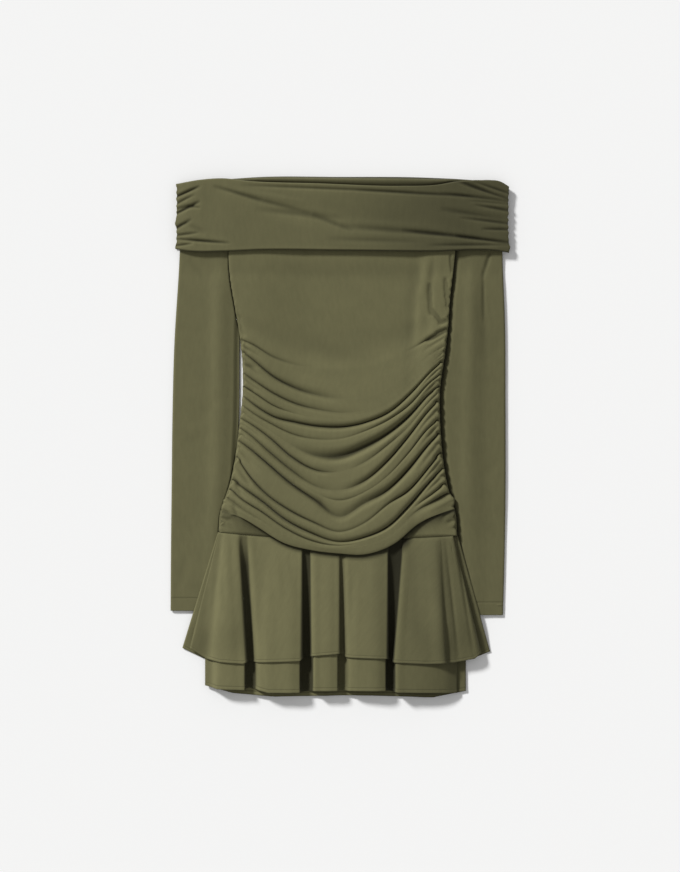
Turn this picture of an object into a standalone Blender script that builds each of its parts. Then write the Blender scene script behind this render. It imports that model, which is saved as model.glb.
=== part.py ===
"""Off-shoulder mini dress of olive jersey, laid flat on its back.

The dress lies on the floor, its neckline towards +Y and its front facing up.
Lengths are in millimetres. In the tables x runs from the middle of the dress
to the right as seen from above, down runs from the neckline towards the hem,
and heights are above the floor. Each piece of cloth is a wall around a middle
surface, and pieces that meet at a seam are 0.3 mm apart.
"""
import bmesh
import bpy
import numpy as np

# Driving dimensions
MM = 0.001
LENGTH = 728.0
WALL = 1.0
GAP = 0.3
LAYER = WALL + GAP
FRONT_CLEAR = 0.8
BACK_LAYER = 1.8
EDGE_EASE = 46.0
EDGE_CLEAR = 5.0
CUFF_EASE = (618.0, 676.0)
SEAM_DOWN = 508.0
SEAM_RISE = 8.5
SEAM_SLANT = -2.0
UPPER_DROP = 164.0
LOWER_DROP = 210.0
SLEEVE_HIGH = 5.0
SLEEVE_HIGH_UNDER_COLLAR = 2.8
BACK_COLLAR_HIGH = 2.6
FRONT_COLLAR_HIGH = 3.0
COLLAR_LEFT = -229.0
COLLAR_RIGHT = 238.0
OLIVE = (0.108, 0.102, 0.047, 1.0)

# Side edges of the body: down, left x, right x
BODY_EDGES = (
    (8, -150, 150),
    (106, -155.5, 154),
    (137, -154, 158),
    (179, -147.5, 153),
    (210, -142, 151),
    (245, -137.5, 147),
    (300, -135.8, 139.5),
    (347, -140.5, 140),
    (403, -148, 145),
    (431, -154, 150),
    (452, -160, 155),
    (473, -166.5, 161),
    (512, -170, 163.5),
)

# Sleeves, laid beside the body and a little under it: down, outer x, inner x
SLEEVE_LEFT_EDGES = (
    (16, -221, -146),
    (105, -224, -140),
    (240, -232, -139.5),
    (340, -234.5, -140),
    (430, -235.5, -146),
    (520, -236.5, -153),
    (607, -237, -157),
)
SLEEVE_RIGHT_EDGES = (
    (16, 225, 146),
    (105, 227, 146),
    (210, 231, 140),
    (312, 231.5, 135),
    (450, 231.5, 138),
    (540, 230, 144),
    (613, 228, 149),
)

# Top edges of the two collar bands, and the fold at the bottom of the front one
COLLAR_BACK_TOP = ((-229, 13), (-192, 7), (-165, 4), (-119, 0.5), (0, 0), (119, 1), (185, 3.5),
                   (228, 7.5), (238, 14))
COLLAR_FRONT_TOP = ((-229, 10.5), (-192, 4.5), (-165, 4), (-130, 8), (-28, 10.5), (84, 14), (150, 12),
                    (210, 10), (238, 15))
COLLAR_FRONT_FOLD = ((-229, 101.5), (-219, 103.5), (-159, 105), (-112, 103), (0, 103.6), (126, 105),
                     (226, 105), (238, 107))
COLLAR_BACK_FOLD_DOWN = 101.0
# Underside of the front band: x, height
COLLAR_FRONT_SEAT = ((-229, 4.2), (-224, 6.0), (-192, 6.0), (-165, 9.5), (-115, 9.5), (-80, 7.4),
                     (80, 7.4), (115, 9.5), (168, 9.5), (194, 6.0), (232, 6.0), (238, 2.9))
# Creases in the front band: x and down at one end, x and down at the other, depth
COLLAR_CREASES = (
    (-133, 12, 235, 33, 0.9),
    (-175, 16, 40, 74, 0.8),
    (98, 77, 236, 91, 1.2),
    (140, 48, 236, 72, 0.9),
    (-226, 88, -168, 94, 0.9),
    (-225, 50, -200, 30, 1.0),
)

# U-shaped folds of the draped front: down at left seam, middle and right seam,
# then the valley's depth at the same three places
FRONT_TOP_ROWS = ((9, 9, 9), (58, 58, 58), (106, 106, 106), (145, 147, 145), (187, 196, 180),
                  (211, 240, 200))
FRONT_FOLDS = (
    (229, 268, 217, 1.2, 0.0, 1.2),
    (253, 310, 240, 2.0, 1.0, 0.8),
    (287, 331, 250, 1.2, 0.5, 0.0),
    (308, 350, 260, 1.8, 2.0, 4.0),
    (322, 370, 284, 1.5, 1.5, 1.5),
    (330, 392, 297, 0.0, 1.5, 3.0),
    (339, 412, 306, 2.0, 1.5, 0.0),
    (354, 439, 317, 2.0, 1.2, 3.0),
    (371, 477, 358, 2.0, 2.5, 4.0),
    (387, 497, 392, 2.5, 2.0, 1.5),
    (431, 511, 412, 2.5, 2.5, 2.5),
    (446, 521, 431, 0.0, 0.5, 3.0),
)
# The drape's lowest roll: line of its nose, and how far the cloth tucks back up
ROLL_NOSE = (462, 530, 455)
TUCK = 26.0
# Rows through the roll: share of the way to the seam where there is no roll,
# down from the nose, share of the tuck, share of the roll's height
ROLL_ROWS = (
    (0.10, -12.0, 0.00, 1.00),
    (0.20, -3.5, 0.00, 0.94),
    (0.30, 0.0, 0.00, 0.80),
    (0.42, -3.5, 0.00, 0.66),
    (0.54, 0.0, -0.50, 0.50),
    (0.66, 2.5, -1.00, 0.33),
    (0.74, 0.0, -1.00, 0.19),
    (0.84, 3.0, -1.00, 0.07),
)
CHEST_RISE = 0.8
DRAPE_RISE = 9.4
SIDE_GATHER_RISE = 2.0
SEAM_HIGH = 6.1

# Front ruffles. Valleys between the flutes: x at the seam, x at the hem, width
# and floor height at the hem, down of the upper hem there
RUFFLE_VALLEYS = (
    (-131.0, -124.5, 11.0, 6.1, 679),
    (-46.5, -46.5, 14.0, 6.0, 674),
    (0.5, 3.5, 5.0, 8.0, 668),
    (75.5, 71.5, 9.0, 6.0, 675),
    (140.0, 154.0, 16.0, 8.5, 679),
)
# Flutes: x of the ridge at the seam and at the hem, height at the hem, down of the hem
RUFFLE_FLUTES = (
    (-155.0, -173.0, 10.5, 675),
    (-97.0, -103.0, 14.5, 677),
    (-21.0, -20.0, 14.8, 668),
    (30.0, 27.0, 14.8, 671),
    (116.0, 118.0, 14.2, 680),
    (152.0, 177.0, 9.0, 674),
)
# Ends of each tier: x at the seam, x at the hem, height at the hem, down of the hem
UPPER_FRONT_ENDS = ((-168.5, -210.0, 6.4, 660), (157.5, 197.0, 6.4, 665))
LOWER_FRONT_ENDS = ((-166.0, -189.0, 7.0, 711), (154.0, 164.5, 7.0, 721))
UPPER_BACK_ENDS = ((-170.5, -220.5, 659), (164.5, 210.0, 664))
LOWER_BACK_ENDS = ((-168.5, -186.0, 712), (162.0, 176.0, 718))
LOWER_FRONT_HEM = ((-190, 712), (-172, 716), (-140, 718), (-100, 720.5), (70, 718), (80, 720), (165, 721))
LOWER_BACK_HEM = ((-186, 712), (-150, 722), (-90, 727), (20, 725), (130, 728), (176, 719))
UPPER_BACK_HEM_DOWN = 674.0
NEST = 2.1
BACK_WAVE = 2.6


def smooth_step(start, end, at):
    """0 before start, 1 after end, an easy slope between."""
    share = np.clip((np.asarray(at, float) - start) / (end - start), 0.0, 1.0)
    return share * share * (3.0 - 2.0 * share)


def column(rows, number):
    """One column of a table as an array."""
    return np.array([row[number] for row in rows], float)


def through(stations, values, at):
    """Cubic curve through a table's values, each slope averaged from its two sides."""
    stations = np.asarray(stations, float)
    values = np.asarray(values, float)
    steps = np.diff(stations)
    rises = np.diff(values) / steps
    inner = (rises[1:] * steps[:-1] + rises[:-1] * steps[1:]) / (steps[1:] + steps[:-1])
    slopes = np.concatenate(([rises[0]], inner, [rises[-1]]))
    at = np.clip(np.asarray(at, float), stations[0], stations[-1])
    i = np.clip(np.searchsorted(stations, at) - 1, 0, len(steps) - 1)
    t = (at - stations[i]) / steps[i]
    rise = values[i + 1] - values[i]
    bend = slopes[i] * steps[i] * t * (1 - t) ** 2 - slopes[i + 1] * steps[i] * t * t * (1 - t)
    return values[i] + rise * t * t * (3 - 2 * t) + bend


def directions(grid, axis):
    """Unit direction along a grid, halfway between the two sides of each point."""
    steps = np.diff(grid, axis=axis)
    steps = steps / np.linalg.norm(steps, axis=-1, keepdims=True)
    first = np.take(steps, [0], axis=axis)
    last = np.take(steps, [-1], axis=axis)
    both = np.concatenate((first, steps), axis=axis) + np.concatenate((steps, last), axis=axis)
    return both / np.linalg.norm(both, axis=-1, keepdims=True)


def facing(grid):
    """Unit normals of a sheet whose rows go down the dress and columns to the right."""
    normal = np.cross(directions(grid, 0), directions(grid, 1))
    return normal / np.linalg.norm(normal, axis=-1, keepdims=True)


def sheet(x, down, height):
    """Points of a sheet from its three arrays, with +Y up the dress."""
    x, down, height = np.broadcast_arrays(x, down, height)
    return np.stack((x, LENGTH / 2 - down, height), axis=-1)


def jersey(name):
    """Plain olive jersey."""
    material = bpy.data.materials.new("jersey_" + name)
    material.use_nodes = True
    shader = material.node_tree.nodes["Principled BSDF"]
    shader.inputs["Base Color"].default_value = OLIVE
    shader.inputs["Roughness"].default_value = 0.85
    shader.inputs["Sheen Weight"].default_value = 0.25
    return material


def solid(name, over, under, ring=False):
    """Closed wall between two grids of points; a ring's last column meets its first."""
    rows, cols = over.shape[:2]
    points = np.concatenate((over.reshape(-1, 3), under.reshape(-1, 3))) * MM
    index = np.arange(rows * cols).reshape(rows, cols)
    near = index if ring else index[:, :-1]
    far = np.roll(index, -1, axis=1) if ring else index[:, 1:]
    a, b, c, d = near[:-1].ravel(), far[:-1].ravel(), far[1:].ravel(), near[1:].ravel()
    skin = np.concatenate((np.stack((a, d, c), 1), np.stack((a, c, b), 1)))
    lining = skin[:, ::-1] + rows * cols
    rims = [(near[0].ravel(), far[0].ravel()), (far[-1].ravel(), near[-1].ravel())]
    if not ring:
        rims.append((index[1:, 0], index[:-1, 0]))
        rims.append((index[:-1, -1], index[1:, -1]))
    faces = [skin, lining]
    for start, end in rims:
        faces.append(np.stack((start, end, end + rows * cols), 1))
        faces.append(np.stack((start, end + rows * cols, start + rows * cols), 1))
    mesh = bpy.data.meshes.new(name)
    mesh.from_pydata(points.tolist(), [], np.concatenate(faces).tolist())
    work = bmesh.new()
    work.from_mesh(mesh)
    bmesh.ops.recalc_face_normals(work, faces=work.faces)
    work.to_mesh(mesh)
    work.free()
    mesh.materials.append(jersey(name))
    piece = bpy.data.objects.new(name, mesh)
    bpy.context.scene.collection.objects.link(piece)
    return piece


def cloth(name, middle):
    """A sheet's wall, half of it on each side of the middle surface."""
    out = facing(middle) * WALL / 2
    return solid(name, middle + out, middle - out)


def seam_line(x):
    """Down of the seam between body and ruffles, which rises to both sides, more to the left."""
    rise = SEAM_RISE + SEAM_SLANT * np.sign(x)
    return SEAM_DOWN - rise * (np.abs(x) / BODY_EDGES[-1][2]) ** 1.8


def body_edges(down):
    """Left and right edge of the body at a height on the dress."""
    stations = column(BODY_EDGES, 0)
    return through(stations, column(BODY_EDGES, 1), down), through(stations, column(BODY_EDGES, 2), down)


def raised_by_collar(down):
    """How far the back band, lying on the floor, raises what is on it."""
    return (BACK_COLLAR_HIGH + GAP) * (1 - smooth_step(COLLAR_BACK_FOLD_DOWN, 138, down))


def sleeve_high(down):
    """Height of a flattened sleeve."""
    eased = smooth_step(105, 150, down)
    return SLEEVE_HIGH_UNDER_COLLAR + (SLEEVE_HIGH - SLEEVE_HIGH_UNDER_COLLAR) * eased


def raised_by_sleeves(x, down):
    """How far the sleeves' inner edges raise the cloth that lies on them."""
    left = through(column(SLEEVE_LEFT_EDGES, 0), column(SLEEVE_LEFT_EDGES, 2), down)
    right = through(column(SLEEVE_RIGHT_EDGES, 0), column(SLEEVE_RIGHT_EDGES, 2), down)
    over_left = smooth_step(EDGE_EASE, EDGE_CLEAR, x - left) 
    over_right = smooth_step(-EDGE_EASE, -EDGE_CLEAR, x - right) 
    past_cuffs = smooth_step(CUFF_EASE[0], CUFF_EASE[1], down)
    return (sleeve_high(down) + GAP) * np.maximum(over_left, over_right) * (1 - past_cuffs)


def back_height(x, down):
    """Middle of the back body's wall, lying on what is under it."""
    return WALL / 2 + raised_by_collar(down) + raised_by_sleeves(x, down)


def make_body_back():
    """The plain back panel, flat on the floor and raised where it lies on the sleeves."""
    down = np.array([9, 58, 104, 122, 140, 180, 215, 250, 300, 350, 400, 430, 455, 480, SEAM_DOWN], float)
    across = np.array([0, 0.03, 0.06, 0.09, 0.12, 0.3, 0.5, 0.7, 0.88, 0.91, 0.94, 0.97, 1.0])
    left, right = body_edges(down)
    down = down[:, None]
    x = left[:, None] + (right - left)[:, None] * across
    down = down + (seam_line(x) - GAP / 2 - SEAM_DOWN) * smooth_step(400, SEAM_DOWN, down)
    return cloth("body_back", sheet(x, down, back_height(x, down)))


def u_line(three, q):
    """A line hanging between the side seams: its left, middle and right values."""
    side = np.where(q < 0, three[0], three[2])
    return three[1] + (side - three[1]) * np.abs(q) ** 1.8


def front_rows():
    """Rows of the front panel above its roll: three downs and three depths each."""
    rows = [(*row, 0.0, 0.0, 0.0) for row in FRONT_TOP_ROWS]
    for fold in FRONT_FOLDS:
        ridge = [(a + b) / 2 for a, b in zip(rows[-1][:3], fold[:3])]
        rows.append((*ridge, 0.0, 0.0, 0.0))
        rows.append(fold)
    return rows


def make_body_front():
    """The draped front panel: U-shaped folds, a roll over the ruffle seam and its tuck."""
    q = np.array([-1, -0.96, -0.92, -0.86, -0.78, -0.68, -0.56, -0.42, -0.28, -0.14, 0,
                  0.14, 0.28, 0.42, 0.56, 0.68, 0.78, 0.86, 0.92, 0.96, 1])
    middle_share = 1 - np.abs(q) ** 3
    down, height = [], []

    def free_height(line, three):
        left, right = body_edges(np.array([three[0], three[2]]))
        x = left[0] + (right[1] - left[0]) * (q + 1) / 2
        seat = back_height(x, line) + LAYER + FRONT_CLEAR
        chest = CHEST_RISE * smooth_step(60, 140, three[1]) * middle_share
        drape = DRAPE_RISE * smooth_step(225, 470, three[1]) * middle_share
        gather = SIDE_GATHER_RISE * smooth_step(215, 300, three[1])
        return x, seat + chest + drape + gather

    xs = []
    for row in front_rows():
        line = u_line(row[:3], q)
        x, high = free_height(line, row[:3])
        side_depth = np.where(q < 0, row[3], row[5])
        depth = row[4] + (side_depth - row[4]) * np.abs(q)
        xs.append(x)
        down.append(line)
        height.append(high - depth * (1 - 0.6 * np.abs(q) ** 8))

    last = u_line(FRONT_FOLDS[-1][:3], q)
    nose = u_line(ROLL_NOSE, q)
    seam = seam_line(q * BODY_EDGES[-1][2])
    rolled = 1 - np.abs(q) ** 4
    x, high = free_height(nose, ROLL_NOSE)
    seam_x, _ = free_height(seam, (SEAM_DOWN, SEAM_DOWN, SEAM_DOWN))
    seam = seam_line(seam_x)
    seam_high = SEAM_HIGH + raised_by_sleeves(seam_x, seam)
    for share, past, tuck, level in ROLL_ROWS:
        plain = last + (seam - last) * share
        folded = nose + past + tuck * TUCK
        xs.append(x + (seam_x - x) * share)
        down.append(plain + (folded - plain) * rolled)
        height.append(seam_high + (high - seam_high) * level)
    xs.append(seam_x)
    down.append(seam - GAP / 2)
    height.append(seam_high)
    return cloth("body_front", sheet(np.array(xs), np.array(down), np.array(height)))


def flat_ring(first, last, under, over, inset, shares):
    """Points round a flattened tube's section: across it and up, from its four limits."""
    shares = np.asarray(shares)
    first = first + inset
    last = last - inset
    under = under + inset
    over = over - inset
    middle = (under + over) / 2
    reach = (over - under) / 2
    span = last - first - 2 * reach
    top = first + reach + span * shares
    base = top[::-1]
    cap = np.sin(np.pi / 4) * reach
    across = np.concatenate((top, [last - reach + cap, last, last - reach + cap], base,
                             [first + reach - cap, first, first + reach - cap]))
    high = np.concatenate((np.full(len(top), over), [middle + cap, middle, middle - cap],
                           np.full(len(base), under), [middle - cap, middle, middle + cap]))
    return across, high


def make_sleeve(name, edges):
    """A long slim sleeve as a flattened tube, open at both ends."""
    first_down, last_down = edges[0][0], edges[-1][0]
    downs = np.concatenate(([first_down, 60, 104, 121, 138], np.linspace(165, last_down, 8)))
    outer = through(column(edges, 0), column(edges, 1), downs)
    inner = through(column(edges, 0), column(edges, 2), downs)
    walls = []
    for inset in (0.0, WALL):
        rows = []
        for down, start, end in zip(downs, np.minimum(outer, inner), np.maximum(outer, inner)):
            under = float(raised_by_collar(down))
            over = under + float(sleeve_high(down))
            x, high = flat_ring(start, end, under, over, inset, (0, 0.2, 0.5, 0.8, 1))
            rows.append(sheet(x, down, high))
        walls.append(np.array(rows))
    return solid(name, walls[0], walls[1], ring=True)


def crease_depth(x, down):
    """How deep the front band's creases are at a point: a soft trough along each."""
    total = np.zeros(np.broadcast(x, down).shape)
    for x0, down0, x1, down1, deep in COLLAR_CREASES:
        along = np.clip(((x - x0) * (x1 - x0) + (down - down0) * (down1 - down0))
                        / ((x1 - x0) ** 2 + (down1 - down0) ** 2), 0, 1)
        away = np.hypot(x - x0 - along * (x1 - x0), down - down0 - along * (down1 - down0))
        total = np.maximum(total, deep * np.exp(-(away / 5.0) ** 2))
    return total


def make_collar(name, top, fold, seat, high, across, creased):
    """A fold-over band: double cloth, folded at its bottom and rolled at its top."""
    near_end = np.array([0, 5, 11, 19, 30, 46, 70])
    xs = np.concatenate((COLLAR_LEFT + near_end, np.linspace(-120, 120, 7), COLLAR_RIGHT - near_end[::-1]))
    tops = through(column(top, 0), column(top, 1), xs)
    folds = through(column(fold, 0), column(fold, 1), xs)
    seats = np.interp(xs, column(seat, 0), column(seat, 1))
    walls = []
    for inset in (0.0, WALL):
        rows = []
        for x, first, last, under in zip(xs, tops, folds, seats):
            down, height = flat_ring(first, last, under, under + high, inset, across)
            if creased:
                upper = height > under + high / 2 + 0.4
                height = height - 0.5 * upper * np.minimum(crease_depth(x, down), high - 2 * WALL - 0.2)
            rows.append(sheet(x, down, height))
        walls.append(np.array(rows))
    return solid(name, walls[0], walls[1], ring=True)


def smooth_path(points, parts):
    """Curve through a path's points, each span cut into equal parts."""
    reach = np.concatenate(([0], np.cumsum(np.linalg.norm(np.diff(points, axis=0), axis=1))))
    at = np.concatenate([np.linspace(a, b, parts, endpoint=False) for a, b in zip(reach[:-1], reach[1:])])
    at = np.append(at, reach[-1])
    return np.stack([through(reach, points[:, k], at) for k in range(points.shape[1])], axis=1)


def flute_section(share, ends, flutes, valleys):
    """Section across the front ruffles at a share of the upper drop: x and height rows."""
    opened = share ** 0.8
    narrowed = 0.45 + 0.55 * opened

    def between(at_seam, at_hem):
        return at_seam + (at_hem - at_seam) * share

    def risen(at_hem):
        return SEAM_HIGH + (at_hem - SEAM_HIGH) * opened

    left, right = ends
    stations = [(between(left[0], left[1]), risen(left[2]))]
    for i, flute in enumerate(flutes):
        stations.append((between(flute[0], flute[1]), risen(flute[2])))
        if i == len(valleys):
            break
        valley = valleys[i]
        x = between(valley[0], valley[1])
        half = valley[2] * narrowed / 2
        floor = risen(valley[3])
        shoulders = [risen(flute[2]), risen(flutes[i + 1][2])]
        stations.append((x - half - 2.5, floor + (shoulders[0] - floor) * 0.88))
        stations.append((x - half, floor + (shoulders[0] - floor) * 0.45))
        stations.append((x, floor))
        stations.append((x + half, floor + (shoulders[1] - floor) * 0.45))
        stations.append((x + half + 2.5, floor + (shoulders[1] - floor) * 0.88))
    stations.append((between(right[0], right[1]), risen(right[2])))
    return smooth_path(np.array(stations), 2)


def ruffle_front(shares, ends, flutes, valleys, hem_stations, hem_downs):
    """Middle surface of a front tier whose hem's downs are given by x."""
    rows = np.array([flute_section(min(share, 1.0), ends, flutes, valleys) for share in shares])
    x = rows[:, :, 0]
    high = rows[:, :, 1]
    hem = np.interp(x[-1], hem_stations, hem_downs)
    part = (np.asarray(shares) / shares[-1])[:, None]
    top = seam_line(x[0]) + GAP
    down = top + (hem - top) * part
    return x, down, high + raised_by_sleeves(x, down)


def make_front_ruffles():
    """Two tiers that fall in the same flutes, the lower one nested inside the upper."""
    hems = [(UPPER_FRONT_ENDS[0][1], UPPER_FRONT_ENDS[0][3])]
    for i, flute in enumerate(RUFFLE_FLUTES):
        hems.append((flute[1], flute[3]))
        if i < len(RUFFLE_VALLEYS):
            hems.append((RUFFLE_VALLEYS[i][1], RUFFLE_VALLEYS[i][4]))
    hems.append((UPPER_FRONT_ENDS[1][1], UPPER_FRONT_ENDS[1][3]))
    shares = np.array([0, 0.07, 0.18, 0.34, 0.5, 0.67, 0.78, 0.89, 1.0])
    x, down, high = ruffle_front(shares, UPPER_FRONT_ENDS, RUFFLE_FLUTES, RUFFLE_VALLEYS,
                                 column(hems, 0), column(hems, 1))
    cloth("ruffle_upper_front", sheet(x, down, high))

    longer = np.append(shares, (1.15, LOWER_DROP / UPPER_DROP))
    x, down, high = ruffle_front(longer, LOWER_FRONT_ENDS, RUFFLE_FLUTES[:-1], RUFFLE_VALLEYS[:-1],
                                 column(LOWER_FRONT_HEM, 0), column(LOWER_FRONT_HEM, 1))
    outer = sheet(x, down, high)
    inner = outer - facing(outer) * NEST
    inner[..., 1] = outer[..., 1]
    cloth("ruffle_lower_front", inner)


def back_wave(x, down):
    """Low waves of the back tiers, highest under the front's flutes."""
    ridges = column(RUFFLE_FLUTES, 1)[1:5]
    wave = np.zeros(np.shape(x))
    for ridge, reach in zip(ridges, (26, 18, 22, 26)):
        wave = np.maximum(wave, np.cos(np.clip((x - ridge) / reach, -1, 1) * np.pi / 2) ** 2)
    return BACK_WAVE * wave * np.clip((down - SEAM_DOWN) / UPPER_DROP, 0, 1)


def make_back_ruffle(name, ends, hem, shares, level):
    """A back tier: flared, nearly flat, with low waves."""
    side = np.array([0, 0.03, 0.06, 0.085, 0.11, 0.135, 0.16, 0.185, 0.21])
    u = np.concatenate((side, np.linspace(0.25, 0.75, 14), 1 - side[::-1]))
    share = np.asarray(shares)[:, None]
    reach = np.minimum(share, 1.0)
    left = ends[0][0] + (ends[0][1] - ends[0][0]) * reach
    right = ends[1][0] + (ends[1][1] - ends[1][0]) * reach
    x = left + (right - left) * u
    hem_down = np.interp(x[-1], column(hem, 0), column(hem, 1))
    top = seam_line(x[0]) + GAP
    down = top + (hem_down - top) * share / share[-1]
    high = WALL / 2 + level * BACK_LAYER + raised_by_sleeves(x, down) + level * back_wave(x, down)
    cloth(name, sheet(x, down, high))


def make_dress():
    """Every piece of the dress, then its place on the floor."""
    for leftover in list(bpy.data.objects):
        bpy.data.objects.remove(leftover)
    floor = ((COLLAR_LEFT, 0), (COLLAR_RIGHT, 0))
    back_fold = ((COLLAR_LEFT, COLLAR_BACK_FOLD_DOWN), (COLLAR_RIGHT, COLLAR_BACK_FOLD_DOWN + 3))
    make_collar("collar_back", COLLAR_BACK_TOP, back_fold, floor, BACK_COLLAR_HIGH,
                (0, 0.5, 1), False)
    make_collar("collar_front", COLLAR_FRONT_TOP, COLLAR_FRONT_FOLD, COLLAR_FRONT_SEAT,
                FRONT_COLLAR_HIGH, (0, 0.07, 0.2, 0.35, 0.5, 0.65, 0.8, 0.93, 1), True)
    make_body_back()
    make_body_front()
    make_sleeve("sleeve_left", SLEEVE_LEFT_EDGES)
    make_sleeve("sleeve_right", SLEEVE_RIGHT_EDGES)
    make_front_ruffles()
    upper_hem = ((UPPER_BACK_ENDS[0][1], UPPER_BACK_ENDS[0][2]), (-190, UPPER_BACK_HEM_DOWN),
                 (185, UPPER_BACK_HEM_DOWN), (UPPER_BACK_ENDS[1][1], UPPER_BACK_ENDS[1][2]))
    make_back_ruffle("ruffle_upper_back", UPPER_BACK_ENDS, upper_hem, (0, 0.22, 0.45, 0.67, 0.78, 0.89, 1.0), 0)
    make_back_ruffle("ruffle_lower_back", LOWER_BACK_ENDS, LOWER_BACK_HEM,
                     (0, 0.22, 0.45, 0.67, 0.78, 0.89, 1.0, 1.3), 1)


def centre_on_floor():
    """Move the whole dress so that the middle of its box's base is the origin."""
    meshes = [piece.data for piece in bpy.data.objects]
    points = [np.array([vertex.co for vertex in mesh.vertices]) for mesh in meshes]
    low = np.min([group.min(axis=0) for group in points], axis=0)
    high = np.max([group.max(axis=0) for group in points], axis=0)
    shift = -np.array([(low[0] + high[0]) / 2, (low[1] + high[1]) / 2, low[2]])
    for mesh, group in zip(meshes, points):
        mesh.vertices.foreach_set("co", (group + shift).ravel())
        mesh.update()


make_dress()
centre_on_floor()
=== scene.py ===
# %% [markdown]
# # An off-shoulder jersey mini dress, laid flat
#
# The real dress is cut from one soft olive jersey: a double band that folds over
# at the neckline, two slim sleeves, a front that is gathered into both side seams
# so that it hangs in U-shaped folds, a plain back, and two tiers of flared ruffle.
# It lies on its back on a pale floor and is seen from straight above.
#
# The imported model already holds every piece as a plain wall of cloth. This script
# lays a finer cloth over each of them: the same sections, worked out on a much
# closer grid, with the small creases and gathers that a rigid wall leaves out.

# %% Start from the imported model
import math

import bpy
import numpy as np
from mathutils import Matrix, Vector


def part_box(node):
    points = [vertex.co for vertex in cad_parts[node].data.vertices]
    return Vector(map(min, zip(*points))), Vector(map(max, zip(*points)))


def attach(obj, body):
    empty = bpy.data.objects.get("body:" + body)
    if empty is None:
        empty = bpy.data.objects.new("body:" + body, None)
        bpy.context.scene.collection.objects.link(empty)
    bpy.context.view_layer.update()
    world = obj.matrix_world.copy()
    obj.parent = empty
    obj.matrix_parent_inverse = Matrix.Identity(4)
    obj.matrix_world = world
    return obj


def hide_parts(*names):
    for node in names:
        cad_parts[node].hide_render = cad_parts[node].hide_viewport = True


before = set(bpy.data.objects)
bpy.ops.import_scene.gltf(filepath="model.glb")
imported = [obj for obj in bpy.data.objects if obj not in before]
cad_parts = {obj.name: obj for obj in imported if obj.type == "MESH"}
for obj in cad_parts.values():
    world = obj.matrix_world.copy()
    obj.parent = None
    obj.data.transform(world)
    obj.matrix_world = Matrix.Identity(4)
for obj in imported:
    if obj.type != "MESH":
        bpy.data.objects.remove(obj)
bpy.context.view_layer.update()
print("nodes:", sorted(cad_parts))

# %% [markdown]
# ## Measures
#
# A dress is measured from its neckline downwards, so every table below gives x
# from the middle of the dress and down from the neckline, in millimetres, and
# heights above the floor. One function turns them into Blender's metres, with +Y
# towards the neckline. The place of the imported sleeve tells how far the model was
# moved to put the middle of its box at the origin. CLOTH is how thick the jersey
# is, GAP what is left between two pieces at a seam, and LAYER how far the front's
# cloth lies above the back's.

# %% Sizes of the dress and the place of the model
MM = 0.001
LENGTH = 728.0
SLEEVE_OUTER_LEFT = -237.0
SHIFT_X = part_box("sleeve_left")[0].x / MM - SLEEVE_OUTER_LEFT
SHIFT_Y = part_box("body_front")[1].y / MM - (LENGTH / 2 - 9.0)
CLOTH = 0.7
GAP = 0.3
LAYER = 1.3
SEAM_DOWN = 508.0
SEAM_RISE = 8.5
SEAM_SLANT = -2.0
SEAM_HALF = 163.5
print("model moved by", round(SHIFT_X, 2), round(SHIFT_Y, 2), "mm")


def place(x, down, height):
    """Points in metres: x as it is, Y = half the length less down, Z = height."""
    x, down, height = np.broadcast_arrays(x, down, height)
    points = np.stack((x + SHIFT_X, LENGTH / 2 - down + SHIFT_Y, height), axis=-1)
    return points * MM

# %% [markdown]
# ## Curves through short tables
#
# A pattern maker draws a hem or a side seam through a few measured points. The
# same can be done with Blender's own curves, but a cubic worked out here gives
# whole rows of points at once: between two stations the value follows a smooth
# S, bent so that the slope at each station is the average of its two sides.

# %% Curve helpers
def smooth_step(start, end, at):
    """0 before start, 1 after end, and 3t^2 - 2t^3 between."""
    share = np.clip((np.asarray(at, float) - start) / (end - start), 0.0, 1.0)
    return share * share * (3.0 - 2.0 * share)


def through(stations, values, at):
    """Cubic through the values at the stations; values may carry further axes."""
    stations = np.asarray(stations, float)
    values = np.asarray(values, float)
    more = (slice(None),) + (None,) * (values.ndim - 1)
    steps = np.diff(stations)[more]
    rises = np.diff(values, axis=0) / steps
    inner = (rises[1:] * steps[:-1] + rises[:-1] * steps[1:]) / (steps[1:] + steps[:-1])
    slopes = np.concatenate((rises[:1], inner, rises[-1:]))
    at = np.clip(np.asarray(at, float), stations[0], stations[-1])
    i = np.clip(np.searchsorted(stations, at) - 1, 0, len(stations) - 2)
    step = stations[i + 1] - stations[i]
    t = (at - stations[i]) / step
    if values.ndim > 1:
        t = t[:, None]
        step = step[:, None]
    rise = values[i + 1] - values[i]
    bend = slopes[i] * step * t * (1 - t) ** 2 - slopes[i + 1] * step * t * t * (1 - t)
    return values[i] + rise * t * t * (3 - 2 * t) + bend


def curve(table, at, number=1):
    """Cubic through one column of a table, whose first column holds the stations."""
    return through([row[0] for row in table], [row[number] for row in table], at)


def between(first, last, share):
    """The value that lies at this share of the way from first to last."""
    return first + (last - first) * share


def closer_at_ends(share, even):
    """Shares drawn together at both ends: even x share + (1 - even)/2 x (1 - cos(pi x share))."""
    return even * share + (1 - even) / 2 * (1 - np.cos(np.pi * share))


def smooth_path(points, parts):
    """Curve through a path's points by the distance along it, each span cut into equal parts."""
    reach = np.concatenate(([0], np.cumsum(np.linalg.norm(np.diff(points, axis=0), axis=1))))
    spans = zip(reach[:-1], reach[1:])
    at = np.concatenate([np.linspace(a, b, parts, endpoint=False) for a, b in spans])
    at = np.append(at, reach[-1])
    return through(reach, points, at)

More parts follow.
